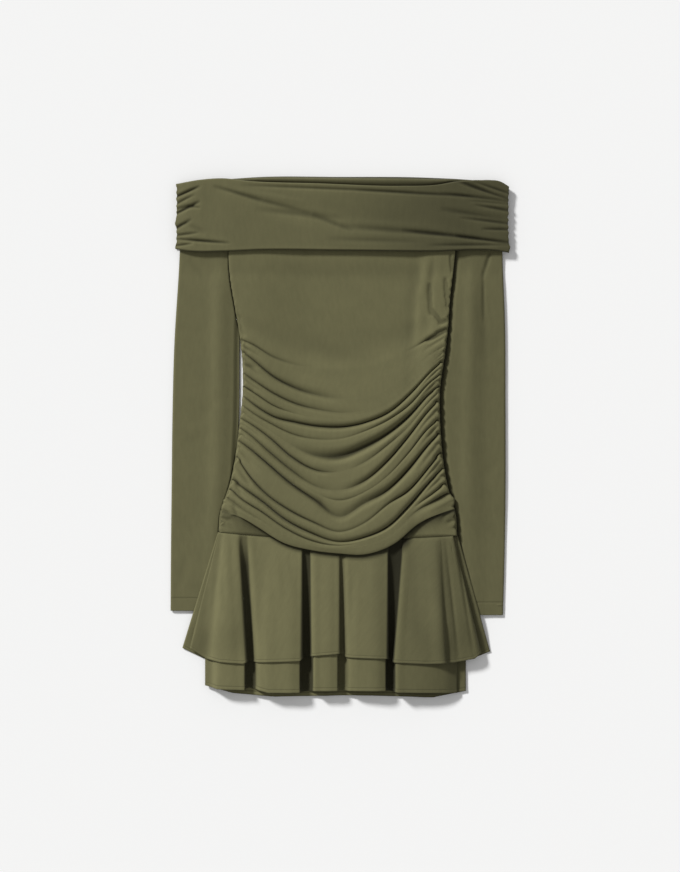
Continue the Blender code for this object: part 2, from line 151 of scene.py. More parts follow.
# %% [markdown]
# ## From two grids to a piece of cloth
#
# Jersey is about 0.7 mm thick. A Solidify modifier could thicken a single sheet,
# but at tight creases it crosses itself, so each piece is built as two grids, the
# face and the back of the cloth, half a thickness to either side of one middle
# surface, with narrow strips closing the edges. A tube such as a sleeve is a grid
# whose last column meets its first. Every point also keeps its place on the cloth
# in a UV map, in metres, so that the knit follows the folds.

# %% Cloth meshes
def unit(vectors):
    """Each vector divided by its own length."""
    return vectors / np.maximum(np.linalg.norm(vectors, axis=-1, keepdims=True), 1e-12)


def directions(grid, axis, ring):
    """Unit direction along the grid, halfway between the two sides of each point."""
    if ring and axis == 1:
        steps = unit(np.roll(grid, -1, axis=1) - grid)
        return unit(steps + np.roll(steps, 1, axis=1))
    steps = unit(np.diff(grid, axis=axis))
    first = np.take(steps, [0], axis=axis)
    last = np.take(steps, [-1], axis=axis)
    return unit(np.concatenate((first, steps), axis=axis) + np.concatenate((steps, last), axis=axis))


def facing(grid, ring=False):
    """Unit normals: the cross product of the two directions of the grid."""
    return unit(np.cross(directions(grid, 0, ring), directions(grid, 1, ring)))


# Painted shade: the material darkens the colour by this depth.
def fold_depth(grid, passes, reach):
    """How far each point lies below its surroundings, as a share of reach in millimetres.

    The surroundings are the heights blurred many times by a quarter, a half and a quarter along
    rows and columns. The result is 1 in a deep crease and slightly below 0 on a ridge.
    """
    height = grid[..., 2] / MM
    blurred = height.copy()
    for _ in range(passes[0]):
        wide = np.pad(blurred, ((1, 1), (0, 0)), mode="edge")
        blurred = 0.25 * wide[:-2] + 0.5 * wide[1:-1] + 0.25 * wide[2:]
    for _ in range(passes[1]):
        wide = np.pad(blurred, ((0, 0), (1, 1)), mode="edge")
        blurred = 0.25 * wide[:, :-2] + 0.5 * wide[:, 1:-1] + 0.25 * wide[:, 2:]
    return np.clip((blurred - height) / reach, -0.1, 1.1)


def cloth_mesh(name, face, back, ring=False, rows_across=False, fold=None):
    """Closed wall between the face and the back of the cloth, with its UV map in metres.

    The UV's first axis runs across the cloth and its second along it, added up from step to step.
    """
    rows, cols = face.shape[:2]
    count = rows * cols
    points = np.concatenate((face.reshape(-1, 3), back.reshape(-1, 3)))
    index = np.arange(count).reshape(rows, cols)
    near = index if ring else index[:, :-1]
    far = np.roll(index, -1, axis=1) if ring else index[:, 1:]
    a, b, c, d = near[:-1].ravel(), far[:-1].ravel(), far[1:].ravel(), near[1:].ravel()
    skin = np.stack((a, d, c, b), 1)
    lining = skin[:, ::-1] + count
    rims = [(far[0].ravel(), near[0].ravel()), (near[-1].ravel(), far[-1].ravel())]
    if not ring:
        rims.append((index[:-1, 0], index[1:, 0]))
        rims.append((index[1:, -1], index[:-1, -1]))
    faces = [skin, lining] + [np.stack((s, s + count, e + count, e), 1) for s, e in rims]
    quads = np.concatenate(faces)
    mesh = bpy.data.meshes.new(name)
    mesh.vertices.add(len(points))
    mesh.vertices.foreach_set("co", points.ravel())
    mesh.loops.add(quads.size)
    mesh.loops.foreach_set("vertex_index", quads.ravel())
    mesh.polygons.add(len(quads))
    mesh.polygons.foreach_set("loop_start", np.arange(0, quads.size, 4))
    mesh.polygons.foreach_set("loop_total", np.full(len(quads), 4))
    mesh.update(calc_edges=True)
    mesh.shade_smooth()
    along = np.cumsum(np.pad(np.linalg.norm(np.diff(face, axis=0), axis=-1), ((1, 0), (0, 0))), axis=0)
    across = np.cumsum(np.pad(np.linalg.norm(np.diff(face, axis=1), axis=-1), ((0, 0), (1, 0))), axis=1)
    cut = np.stack((along, across) if rows_across else (across, along), axis=-1).reshape(-1, 2)
    cut = np.concatenate((cut, cut))
    layer = mesh.uv_layers.new(name="cut")
    layer.data.foreach_set("uv", cut[quads.ravel()].ravel())
    # Painted shade: how much the material darkens each point is kept as the point attribute named fold.
    depth = np.zeros(count) if fold is None else np.asarray(fold, float).ravel()
    kept = mesh.attributes.new("fold", "FLOAT", "POINT")
    kept.data.foreach_set("value", np.concatenate((depth, depth)))
    piece = bpy.data.objects.new(name, mesh)
    bpy.context.scene.collection.objects.link(piece)
    return piece


def skin_area(piece):
    """Area of the cloth in square metres: half of all the faces, since it has two sides."""
    areas = np.zeros(len(piece.data.polygons))
    piece.data.polygons.foreach_get("area", areas)
    return float(areas.sum()) / 2


def sheet_piece(name, middle, fold=None):
    """A flat-cut piece: its middle surface moved half a thickness out on each side."""
    out = facing(middle) * (CLOTH / 2 * MM)
    return cloth_mesh(name, middle + out, middle - out, fold=fold)

# %% [markdown]
# ## Olive jersey
#
# The cloth is a fine viscose jersey: matt, a little soft and light at grazing
# angles, with a knit too fine to see from a step away. An image of a knit would
# be the usual choice, but two sine waves along the cut's own UV map make the
# wales and courses at their real 0.6 mm, and noise breaks them up. The colour
# wanders very slightly, as piece-dyed cloth does. Shade is also painted into the
# colour: it is darker inside a crease and a trace lighter on a ridge. Each mesh
# keeps how deep it lies in a fold, and its other painted shade, as an attribute
# that the material reads. Each piece also has its own copy of the material, with
# painted light and shade that run from left to right across the dress. The sheen
# is set straight on the shader.

# %% The jersey material
OLIVE = (0.145, 0.136, 0.0655, 1.0)
OLIVE_WORN = (0.124, 0.1175, 0.0565, 1.0)
WALE = 0.0006
COURSE = WALE * 0.8
KNIT_HIGH = 0.00006
FUZZ = 2.2
SLUB = 0.05
STREAKS = (200.0, 55.0, 1.0)
FOLD_SHADE = 0.62
JERSEY_FINISH = (
    ("Roughness", 0.82),
    ("Specular IOR Level", 0.16),
    ("Sheen Weight", 0.08),
    ("Sheen Roughness", 0.45),
    ("Sheen Tint", (0.80, 0.78, 0.55, 1.0)),
)


def jersey(name, left_painted_light, right_painted_light):
    """Colour = slow noise between two olives x painted light and shade from left to right x slub x (1 -
    painted shade in folds).

    Bump = sine across the wales + sine along the courses + fuzz.
    """
    material = bpy.data.materials.new(name)
    material.use_nodes = True
    nodes, links = material.node_tree.nodes, material.node_tree.links
    shader = nodes["Principled BSDF"]
    for socket, value in JERSEY_FINISH:
        shader.inputs[socket].default_value = value

    def node(kind, wires=(), values=(), **settings):
        """A new node with its settings, the values typed into its sockets and the wires led to them."""
        made = nodes.new("ShaderNode" + kind)
        for setting, value in settings.items():
            setattr(made, setting, value)
        for socket, value in values:
            made.inputs[socket].default_value = value
        for socket, source in wires:
            links.new(source, made.inputs[socket])
        return made

    def times(colour, factor):
        """A colour multiplied by a number."""
        wires, values = [("A", colour), ("B", factor)], [("Factor", 1.0)]
        return node("Mix", wires, values, data_type="RGBA", blend_type="MULTIPLY").outputs["Result"]

    cut = node("UVMap", uv_map="cut").outputs["UV"]
    spot = node("TexCoord").outputs["Object"]

    parts = node("SeparateXYZ", [(0, cut)])
    waves = []
    for axis, pitch in (("X", WALE), ("Y", COURSE)):
        turn = node("Math", [(0, parts.outputs[axis])], [(1, 2 * math.pi / pitch)], operation="MULTIPLY")
        waves.append(node("Math", [(0, turn.outputs[0])], operation="SINE").outputs[0])
    knit = node("Math", [(0, waves[0]), (1, waves[1])], operation="ADD")
    fuzz = node("TexNoise", [("Vector", spot)], [("Scale", 900.0), ("Detail", 3.0)])
    wires = [(0, fuzz.outputs["Fac"]), (2, knit.outputs[0])]
    relief = node("Math", wires, [(1, FUZZ)], operation="MULTIPLY_ADD")
    bump = node("Bump", [("Height", relief.outputs[0])], [("Strength", 0.5), ("Distance", KNIT_HIGH)])
    links.new(bump.outputs["Normal"], shader.inputs["Normal"])

    slow = node("TexNoise", [("Vector", spot)], [("Scale", 26.0), ("Detail", 5.0)])
    olive = node("Mix", [("Factor", slow.outputs["Fac"])], data_type="RGBA")
    olive.inputs["A"].default_value = OLIVE_WORN
    olive.inputs["B"].default_value = OLIVE
    # Painted light and shade: the colour is multiplied by a factor that runs from left to right across the
    # dress.
    across = node("SeparateXYZ", [(0, spot)])
    painted_light_range = [("From Min", -0.06), ("From Max", 0.17), ("To Min", left_painted_light), ("To Max", right_painted_light)]
    painted_light_ramp = node("MapRange", [("Value", across.outputs["X"])], painted_light_range, interpolation_type="SMOOTHSTEP")
    olive_with_painted_light = times(olive.outputs["Result"], painted_light_ramp.outputs["Result"])

    stretched = node("Mapping", [("Vector", cut)], [("Scale", STREAKS)])
    streak = node("TexNoise", [("Vector", stretched.outputs["Vector"])], [("Scale", 1.0), ("Detail", 3.0)])
    swing = [("From Min", 0.25), ("From Max", 0.75), ("To Min", 1 - SLUB), ("To Max", 1 + SLUB)]
    slub = node("MapRange", [("Value", streak.outputs["Fac"])], swing)
    # Painted shade: darker where the mesh's attribute says the point lies deep in a fold or in another shaded
    # place.
    depth = node("Attribute", attribute_name="fold")
    shadow = node("Math", [(0, depth.outputs["Fac"])], [(1, -FOLD_SHADE), (2, 1.0)], operation="MULTIPLY_ADD")
    slub_and_painted_shade = node("Math", [(0, shadow.outputs[0]), (1, slub.outputs["Result"])], operation="MULTIPLY")
    links.new(times(olive_with_painted_light, slub_and_painted_shade.outputs[0]), shader.inputs["Base Color"])
    return material


# Copies of the jersey, one for each kind of piece: painted light and shade make each a share lighter or
# darker, from the first number at the left of the dress to the second at the right.
JERSEY = jersey("olive_jersey", 0.98, 0.95)
BAND_JERSEY = jersey("olive_jersey_band_painted_shade", 0.87, 0.48)
BACK_BAND_JERSEY = jersey("olive_jersey_neckline", 0.66, 0.46)
SLEEVE_JERSEY = jersey("olive_jersey_sleeve", 0.94, 0.84)
RUFFLE_JERSEY = jersey("olive_jersey_ruffle", 1.12, 0.74)


def dress_piece(piece, node, cloth=JERSEY):
    """Give a finished piece its cloth and its body, hide its solid, and print its area and triangles."""
    piece.data.materials.append(cloth)
    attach(piece, "root")
    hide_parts(node)
    print(node, "cloth", round(skin_area(piece), 4), "m2,", len(piece.data.polygons) * 2, "triangles")
    return piece

# %% [markdown]
# ## Creases drawn as strokes
#
# Every crease in the jersey starts somewhere, runs a little way and dies out. One
# could sculpt them, but a list of short strokes is easier to read and to correct:
# each stroke has its two ends, the width of the trough, its depth in the middle,
# and it fades towards both ends. A negative depth makes a soft ridge.

# %% Creases as soft strokes
def strokes(table, x, down):
    """Sum of soft troughs: depth x exp(-(distance/width)^2), fading along the stroke by a sine."""
    total = np.zeros(np.broadcast(x, down).shape)
    for x0, down0, x1, down1, width, depth in table:
        run = np.hypot(x1 - x0, down1 - down0)
        along = ((x - x0) * (x1 - x0) + (down - down0) * (down1 - down0)) / run ** 2
        away = ((x - x0) * (down1 - down0) - (down - down0) * (x1 - x0)) / run
        fade = np.sin(np.pi * np.clip(along, 0, 1)) ** 0.8
        total += depth * fade * np.exp(-(away / width) ** 2)
    return total


def notches(table, down, width):
    """How far a gathered seam pulls in: a small bell at each gather's place."""
    total = np.zeros(np.shape(down))
    for place_down, reach in table:
        total += reach * np.exp(-((down - place_down) / width) ** 2)
    return total

# %% [markdown]
# ## What lies under what
#
# The back band lies on the floor, the sleeves lie beside the body with their inner
# edges tucked under it, and the cloth above steps up over both. These heights are
# functions of the place on the dress, so that every layer rises over the same
# things and none cuts through another.

# %% Heights of the layers
BACK_BAND_HIGH = 2.6
BACK_BAND_FOLD = 101.0
SLEEVE_HIGH = 5.0
SLEEVE_HIGH_UNDER_BAND = 2.8
EDGE_EASE = 46.0
EDGE_CLEAR = 5.0
BACK_CLEAR = 0.5
CUFF_EASE = (618.0, 676.0)
SLEEVE_LEFT_EDGES = (
    (16, -221, -146),
    (105, -224, -140),
    (240, -232, -140.4),
    (340, -234.5, -141.4),
    (430, -235.5, -146),
    (520, -236.5, -153),
    (607, -237, -157),
)
SLEEVE_RIGHT_EDGES = (
    (16, 225, 146),
    (105, 227, 146),
    (210, 231, 140),
    (312, 231.5, 135),
    (450, 231.5, 138),
    (540, 230, 144),
    (613, 228, 149),
)
BODY_EDGES = (
    (8, -150, 156),
    (106, -155.5, 160.5),
    (137, -154, 157.5),
    (179, -147.5, 153),
    (210, -142, 151),
    (245, -137.5, 147),
    (300, -135.8, 139.5),
    (347, -140.5, 140),
    (403, -148, 145),
    (431, -154, 150),
    (452, -160, 155),
    (473, -166.5, 161),
    (512, -170, 163.5),
)


def body_edges(down):
    """Left and right edge of the body at a height on the dress."""
    return curve(BODY_EDGES, down), curve(BODY_EDGES, down, 2)


def raised_by_band(down):
    """Height that the back band adds, easing out below its fold."""
    return (BACK_BAND_HIGH + GAP) * (1 - smooth_step(BACK_BAND_FOLD, 138, down))


def sleeve_high(down):
    """Height of a flattened sleeve: pressed under the front band, fuller below it."""
    return between(SLEEVE_HIGH_UNDER_BAND, SLEEVE_HIGH, smooth_step(105, 150, down))


def raised_by_sleeves(x, down, left_ease=EDGE_EASE):
    """Height that the sleeves' inner edges add to the cloth on them, easing out past the cuffs."""
    over_left = smooth_step(left_ease, EDGE_CLEAR, x - curve(SLEEVE_LEFT_EDGES, down, 2))
    over_right = smooth_step(-EDGE_EASE, -EDGE_CLEAR, x - curve(SLEEVE_RIGHT_EDGES, down, 2))
    past_cuffs = smooth_step(CUFF_EASE[0], CUFF_EASE[1], down)
    return (sleeve_high(down) + GAP) * np.maximum(over_left, over_right) * (1 - past_cuffs)


def back_height(x, down, left_ease=EDGE_EASE):
    """Middle of the back body's cloth above what it lies on."""
    return BACK_CLEAR + raised_by_band(down) + raised_by_sleeves(x, down, left_ease)


def seam_line(x):
    """Down of the seam between body and ruffles, which rises to both sides, more to the left."""
    return SEAM_DOWN - (SEAM_RISE + SEAM_SLANT * np.sign(x)) * (np.abs(x) / SEAM_HALF) ** 1.8

# %% [markdown]
# ## The sleeves
#
# Each sleeve is a narrow tube, seamed along one edge and laid down flat, so its
# section is a long thin loop with tight bends at both edges. A flattened cylinder
# would look inflated. Here the under side is flat, the upper side bends up sharply
# at the edges and swells into one soft lengthwise ridge, which catches the light
# in the photograph. The cuff is turned in and stitched, so the last 18 mm is a
# trace thicker, with the stitch line drawn into it and painted a little darker.
# Where the body's side seam presses on the right sleeve, its cloth dips into a
# narrow groove, and shade is painted into that groove's colour, as it is into the
# sleeves' creases.

# %% Sleeves
CUFF_HEM = 18.0
SLEEVE_FULL = 2.6
SLEEVE_ROWS = 190
CUFF_ROWS = 30
CUFF_REACH = 24
SLEEVE_OVER = 84
SLEEVE_UNDER = 26


def rounded_edges(f, edge):
    """1 inside, falling to 0 at both ends of the run along a quarter circle of width edge."""
    inside = np.clip(np.minimum(f, 1 - f) / edge, 0, 1)
    return np.sqrt(1 - (1 - inside) ** 2)


def loop_section(first, last, under, high, profile, over_points, under_points):
    """Points round a flattened tube: the upper run by its profile, then back along the under side."""
    s = closer_at_ends(np.linspace(0, 1, over_points), 0.5)
    back = np.linspace(1, 0, under_points + 2)[1:-1]
    f = np.concatenate((s, back))
    upper = np.arange(len(f)) < over_points
    across = between(first, last, f)
    height = np.empty(len(f))
    edge = min(0.35 * high, 1.4)
    height[upper] = under + edge + (high - edge) * profile(s)
    height[~upper] = under + edge * (1 - rounded_edges(back, 0.012))
    return across, height, upper

# %% Creases of the sleeves
SLEEVE_CREASES_LEFT = (
    (-212, 112, -186, 150, 7, 0.5),
    (-176, 108, -171, 330, 10, -0.7),
    (-228, 205, -188, 222, 8, 0.35),
    (-160, 300, -205, 345, 9, 0.4),
    (-226, 372, -180, 360, 8, 0.35),
    (-166, 380, -172, 560, 9, -0.5),
    (-230, 470, -196, 505, 9, 0.4),
    (-212, 520, -228, 585, 7, 0.4),
)
SLEEVE_CREASES_RIGHT = (
    (213, 96, 199, 142, 2.6, 1.7),
    (200, 128, 201, 206, 2.6, 1.3),
    (201, 180, 202, 260, 6, 0.6),
    (184, 108, 181, 300, 9, -0.8),
    (226, 230, 196, 262, 9, 0.35),
    (164, 330, 204, 368, 9, 0.4),
    (226, 395, 192, 420, 9, 0.35),
    (176, 330, 172, 520, 9, -0.5),
    (205, 470, 226, 520, 8, 0.4),
    (168, 560, 200, 545, 7, 0.35),
    (219, 599, 228, 599, 0.9, -0.8),
)

# %% Making a sleeve
def beside_body(x, down, near, far):
    """1 at the body's side seam and under the body, falling to 0 from near to far mm outside it."""
    left, right = body_edges(np.array([down]))
    return smooth_step(far, near, left[0] - x) * smooth_step(far, near, x - right[0])


def make_sleeve(node, edges, ridge, creases, dip, crevice_painted_shade):
    """Rows of loop sections from the neckline to the cuff, each set in half a thickness.

    Beside the body the upper side dips down over dip mm, and the last argument is how much shade is painted
    into that dip.
    """
    last = edges[-1][0]
    downs = np.concatenate((np.linspace(edges[0][0], last - CUFF_REACH, SLEEVE_ROWS),
                            np.linspace(last - CUFF_REACH + 1, last, CUFF_ROWS)))
    outer, inner = curve(edges, downs), curve(edges, downs, 2)
    stitch_down = last - CUFF_HEM

    def profile(f):
        inner_side = f if outer[0] > inner[0] else 1 - f
        tucked = smooth_step(0.02, 0.10, inner_side)
        return rounded_edges(f, 0.03) * tucked * (0.46 + 0.54 * np.exp(-((f - ridge) / 0.15) ** 2))

    rows, shades = [], []
    for down, start, end in zip(downs, np.minimum(outer, inner), np.maximum(outer, inner)):
        under = raised_by_band(down) + CLOTH / 2
        high = sleeve_high(down) - CLOTH
        high = high + SLEEVE_FULL * smooth_step(106, 170, down) * smooth_step(520, 430, down)
        x, height, upper = loop_section(start + GAP, end - GAP, under, high, profile,
                                        SLEEVE_OVER, SLEEVE_UNDER)
        sink = strokes(creases, x, np.full(len(x), down)) * smooth_step(100, 108, down)
        beside = beside_body(x, down, 1.0, dip)
        sink = sink + np.clip(height - under - 0.5 - sink, 0, None) * beside
        # Painted shade in the dip beside the body.
        shades.append(np.where(upper, crevice_painted_shade * beside_body(x, down, 0.5, 0.8 * dip), 0))
        sink = sink + 0.3 * np.exp(-((down - stitch_down) / 1.0) ** 2)
        sink = sink - 0.10 * smooth_step(stitch_down - 0.5, stitch_down + 1.5, down)
        inside = rounded_edges(np.clip((x - start) / (end - start), 0, 1), 0.08)
        rows.append(place(x, down, height - np.where(upper, sink * inside, 0)))
    middle = np.array(rows)
    out = facing(middle, ring=True) * (CLOTH / 2 * MM)
    # Painted shade of the creases and of the cuff's stitch line, joined with the dip's.
    creased = np.pad(fold_depth(middle[:, :SLEEVE_OVER], (6, 24), 2.0), ((0, 0), (0, SLEEVE_UNDER)))
    stitched = 0.35 * np.exp(-((downs - stitch_down) / 0.8) ** 2)[:, None]
    fold = np.where(upper, np.maximum(np.array(shades), creased) + stitched, 0)
    return cloth_mesh(node, middle + out, middle - out, ring=True, fold=fold)


sleeve_left = make_sleeve("sleeve_left", SLEEVE_LEFT_EDGES, 0.70, SLEEVE_CREASES_LEFT, 1.5, 0.0)
dress_piece(sleeve_left, "sleeve_left", cloth=SLEEVE_JERSEY)
sleeve_right = make_sleeve("sleeve_right", SLEEVE_RIGHT_EDGES, 0.48, SLEEVE_CREASES_RIGHT, 10.0, 1.3)
dress_piece(sleeve_right, "sleeve_right", cloth=SLEEVE_JERSEY)

# %% [markdown]
# ## The back of the body
#
# The back panel is plain and lies on the floor under everything else. Only its
# edges show, where the front is sewn to it, and its whole face when the dress is
# seen from below, so a smooth grid between the two side seams is all that it
# needs. The gathers of those seams are listed here too: how far down, how deep.

# %% Gathers of the side seams
LEFT_GATHERS = (
    (138, 0.7), (150, 0.9), (161, 0.7), (173, 1.1), (184, 0.9), (197, 1.3), (209, 1), (222, 1),
    (232, 1.4), (246, 0.9), (257, 1.5), (271, 0.8), (288, 1.2), (304, 1.4), (318, 1), (332, 1.2),
    (347, 0.8), (362, 1.5), (378, 1.2), (396, 1.4), (412, 1), (428, 1.6), (442, 1.2), (456, 1.7),
    (470, 1.2), (483, 1.8), (496, 1.2),
)
RIGHT_GATHERS = (
    (146, 0.6), (158, 0.9), (168, 1.2), (181, 0.9), (196, 1.2), (214, 1.1), (229, 0.9), (244, 1.3),
    (259, 1.5), (273, 1), (286, 1.4), (299, 1.2), (314, 1.5), (328, 1), (341, 1.4), (357, 1.6),
    (374, 1.1), (391, 1.5), (404, 1.1), (418, 1.5), (431, 1.7), (447, 1.3), (461, 1.6), (476, 1.2),
    (490, 1.4),
)

# %% Back body
BODY_TOP = 22.0


def make_body_back():
    """A flat grid between the side seams, raised over band and sleeves."""
    down = np.linspace(BODY_TOP, SEAM_DOWN, 150)[:, None]
    left, right = body_edges(down)
    x = between(left, right, np.linspace(0, 1, 90))
    down = down + (seam_line(x) - GAP / 2 - SEAM_DOWN) * smooth_step(400, SEAM_DOWN, down)
    return sheet_piece("body_back", place(x, down, back_height(x, down) - 0.15))


body_back = make_body_back()
dress_piece(body_back, "body_back")

# %% [markdown]
# ## The draped front
#
# The front is cut much longer than the back and gathered into both side seams, so
# it hangs in U-shaped folds like a cowl and bags over the ruffle seam in one last
# roll. Blender's cloth simulation could drop it, but it would not land in these
# folds. Each entry of the table is one valley: where it lies at eleven places from
# seam to seam, how deep it is there, and how wide at the seams and in the middle.
# Between two valleys the cloth rises in a round ridge, and leans a little over the
# valley below it, which gives the fine dark line that a soft fold has. Near the
# side seams a wide ridge is pinched once more. The roll's rows give a share of the
# way to the seam, how far the cloth lies past the nose, its tuck and its height.
# The creases, and the strip of front that shows below the roll, are darkened with painted shade.

# %% Folds of the front
ACROSS = (-1.0, -0.9, -0.7, -0.5, -0.25, 0.0, 0.25, 0.5, 0.7, 0.9, 1.0)
MIDDLE = ACROSS.index(0.0)
PLAIN_ROWS = (BODY_TOP, 62.0, 106.0, 147.0)
PLAIN_PARTS = (6, 6, 20, 22, 20)
LAST_PLAIN_ROW = (188, 190, 194, 197, 199, 200, 200, 198, 193, 186, 182)
FRONT_FOLDS = (
    ((229, 235, 252, 262, 267, 268, 264, 252, 238, 221, 213),
     (1.8, 1.8, 1.2, 0.4, 0, 0, 0, 0, 0.5, 3, 3.2), 6, 6),
    ((246, 257, 280, 295, 306, 311, 308, 292, 268, 246, 238),
     (2.2, 2.6, 3.2, 2.6, 1.4, 0.2, 0, 0, 0, 0.3, 0.6), 7, 12),
    ((276, 286, 304, 317, 326, 330, 325, 308, 284, 258, 247),
     (1.6, 1.8, 2, 1.8, 1, 0.4, 0, 0, 0, 0, 0.4), 6, 9),
    ((294, 303, 321, 331, 338, 340, 334, 317, 293, 264, 252),
     (2.4, 2.2, 1.4, 0.3, 0, 0, 0, 0, 0, 0, 0.4), 4, 4),
    ((308, 319, 336, 343, 349, 349.5, 342, 326, 301, 271, 259),
     (1.8, 2.4, 2.8, 3.2, 3.8, 4.6, 5, 5.2, 5.6, 5.2, 4.6), 7, 9),
    ((321, 331, 347, 360, 367, 366, 355, 338, 318, 288, 277),
     (1.4, 1.4, 1.5, 1.2, 0.6, 0.4, 0.7, 1.6, 2, 2.6, 2.8), 5, 5),
    ((330, 340, 357, 375, 390, 391, 378, 358, 335, 305, 293),
     (0.6, 0.4, 0.2, 0.3, 2, 4, 4.8, 5, 5.4, 5, 4.6), 8, 15),
    ((339, 347, 367, 391, 410, 412, 399, 374, 350, 317, 303),
     (1.8, 2.4, 3, 3.6, 2, 0.2, 0.6, 1, 0.3, 0.6, 1), 7, 8),
    ((352, 362, 386, 409, 432, 438, 426, 396, 364, 329, 314),
     (2, 2.2, 3, 2.6, 1.2, 0.3, 2.4, 4.2, 4.8, 4.6, 4.4), 7, 11),
    ((361, 370, 395, 418, 441, 452, 441, 417, 387, 352, 340),
     (0.4, 0.2, 0, 0, 0, 0.6, 0.3, 0.4, 1, 3.2, 3.4), 4, 5),
    ((370, 380, 403, 427, 451, 475, 457, 437, 409, 374, 359),
     (2.6, 3, 3.8, 4.4, 4.4, 1.6, 2, 3.8, 5, 5.2, 4.8), 8, 13),
    ((392, 414, 445, 465, 483, 496, 484, 456, 437, 404, 386),
     (2, 2.8, 2.6, 2.6, 1.8, 0.8, 0.6, 1.4, 4.2, 4.6, 4.6), 6, 6),
    ((424, 435, 456, 479, 498, 510, 504, 486, 456, 423, 408),
     (2.2, 3, 3.8, 4.4, 4, 2.8, 4.4, 5.8, 5.8, 4.4, 3.8), 7, 8),
    ((437, 450, 469, 490, 508, 515, 509, 493, 464, 441, 429),
     (2.4, 2.6, 2.6, 2.4, 2, 0.6, 0, 0, 0, 2.6, 3), 5, 4),
    ((449, 461, 480, 499, 514, 519, 515, 499, 470, 450, 442),
     (1.6, 1.2, 0.4, 0, 0, 0, 0, 0, 0.4, 3, 3.4), 4, 4),
)
ROLL_NOSE = (463, 469, 490, 510, 521, 526, 527, 512, 486, 471, 465)
TUCK = 26.0
ROLL_ROWS = (
    (0.10, -12.0, 0.00, 1.00),
    (0.20, -3.5, 0.00, 0.94),
    (0.30, 0.0, 0.00, 0.80),
    (0.42, -3.5, 0.00, 0.66),
    (0.54, 0.0, -0.50, 0.50),
    (0.66, 2.5, -1.00, 0.33),
    (0.74, 0.0, -1.00, 0.19),
    (0.84, 3.0, -1.00, 0.07),
)
FRONT_CLEAR = 0.8
CHEST_RISE = 0.8
DRAPE_RISE = 9.4
SIDE_GATHER_RISE = 3.2
SEAM_HIGH = 6.1
PUFF = 2.6
RELIEF = 1.75
GATHER = 1.8
LEFT_EASE = 95.0
LEAN = 1.6
PINCH = 1.5
PLAIN_WIDTH = 5.0
OVER_BACK = 0.9
FRONT_COLUMNS = 136
ROLL_HALF = 158.0
ROLL_STEPS = 56
NOSE_ROW = 22
PANEL_SHADE = 1.4
PANEL_FADE = 9.0
LIP = 3.0
FRONT_STROKES = (
    (122, 104, 116, 172, 8, -1.5),
    (113, 150, 108, 245, 7, -1.4),
    (130, 108, 124, 170, 5, 1.1),
    (153, 98, 158, 142, 2.0, 3.6),
    (125, 148, 127, 196, 2.8, 3.8),
    (125, 182, 143, 206, 2.8, 4.4),
    (136, 206, 156, 200, 2.8, 4.0),
    (119, 232, 146, 218, 3.0, 4.8),
    (132, 220, 158, 215, 3.0, 4.6),
    (147, 140, 153, 190, 2.8, 4.2),
    (-150, 180, -139, 206, 4, 1.4),
    (-146, 200, -133, 226, 3.5, 1.8),
    (-144, 218, -126, 246, 3.5, 1.8),
    (-140, 262, -112, 268, 2.5, 1.2),
    (-138, 276, -116, 290, 2.5, 1.2),
    (-139, 296, -116, 300, 2.5, 1.0),
    (138, 268, 118, 290, 3, 1.2),
    (139, 279, 122, 299, 2.5, 1.0),
    (143, 336, 122, 366, 3.5, 1.6),
    (146, 372, 132, 398, 4, 1.8),
    (147, 399, 130, 414, 3, 1.5),
    (-146, 398, -124, 432, 3.5, 1.8),
    (-152, 408, -134, 452, 3.5, 1.8),
    (-150, 452, -130, 472, 3, 1.5),
    (-163, 448, -149, 478, 3.5, 2.0),
    (-168, 462, -146, 490, 3.5, 2.0),
    (-168, 486, -148, 497, 3, 1.8),
    (162, 460, 141, 471, 3, 1.6),
    (162, 478, 144, 477, 3, 1.4),
    (163, 492, 146, 486, 3, 1.4),
    (-60, 236, 60, 262, 16, 0.7),
    (-110, 130, -70, 210, 14, 0.4),
)
HIP_STROKES = (
    (-174, 462, -148, 473, 2.6, 1.8),
    (-174, 474, -146, 483, 2.6, 1.8),
    (-174, 488, -148, 491, 2.4, 1.4),
    (-150, 458, -134, 499, 3.5, 2.4),
    (-166, 480, -152, 500, 3.0, 1.2),
    (166, 464, 142, 476, 2.6, 1.8),
    (167, 478, 136, 488, 2.6, 1.8),
    (167, 492, 142, 495, 2.4, 1.2),
    (150, 470, 128, 496, 3.5, 1.6),
)
print(len(FRONT_FOLDS), "folds and", len(FRONT_STROKES) + len(HIP_STROKES), "small creases in the front")

# %% [markdown]
# ### From the folds to rows of cloth
#
# A surface could be lofted through the valleys alone, but it would have no ridges.
# Each row between two valleys takes the height that the free cloth would have,
# loses what the two creases beside it take, and gains a little puff in the middle.
# The rows of the roll go round its nose, back under it and down to the seam.

# %% Rows of the front
def crease_shape(distance, width):
    """Loss of height beside a crease: a V at the line for a sharp one, a bell for one wider than 12 mm."""
    u = np.clip(distance / width, 0, 1)
    return (1 - u) ** 2 * (1 + 2 * u * (0.25 + 0.75 * smooth_step(8, 13, width)))


def free_height(line, q, row):
    """x of a row and the height of the cloth there between its folds; row is its line in the table."""
    left, right = body_edges(np.array([row[0], row[-1]]))
    middle = row[MIDDLE]
    x = left[0] + LIP + (right[1] - left[0] - 2 * LIP) * (q + 1) / 2
    middle_share = 1 - np.abs(q) ** 3
    seat = back_height(x, line, LEFT_EASE) + LAYER + FRONT_CLEAR
    chest = CHEST_RISE * smooth_step(60, 140, middle) * middle_share
    drape = DRAPE_RISE * smooth_step(225, 470, middle) * middle_share
    gather = SIDE_GATHER_RISE * smooth_step(215, 300, middle)
    return x, seat + chest + drape + gather


def calmed(q):
    """Share of a fold's relief that is left towards the side seams."""
    return 1 - 0.25 * np.abs(q) ** 8


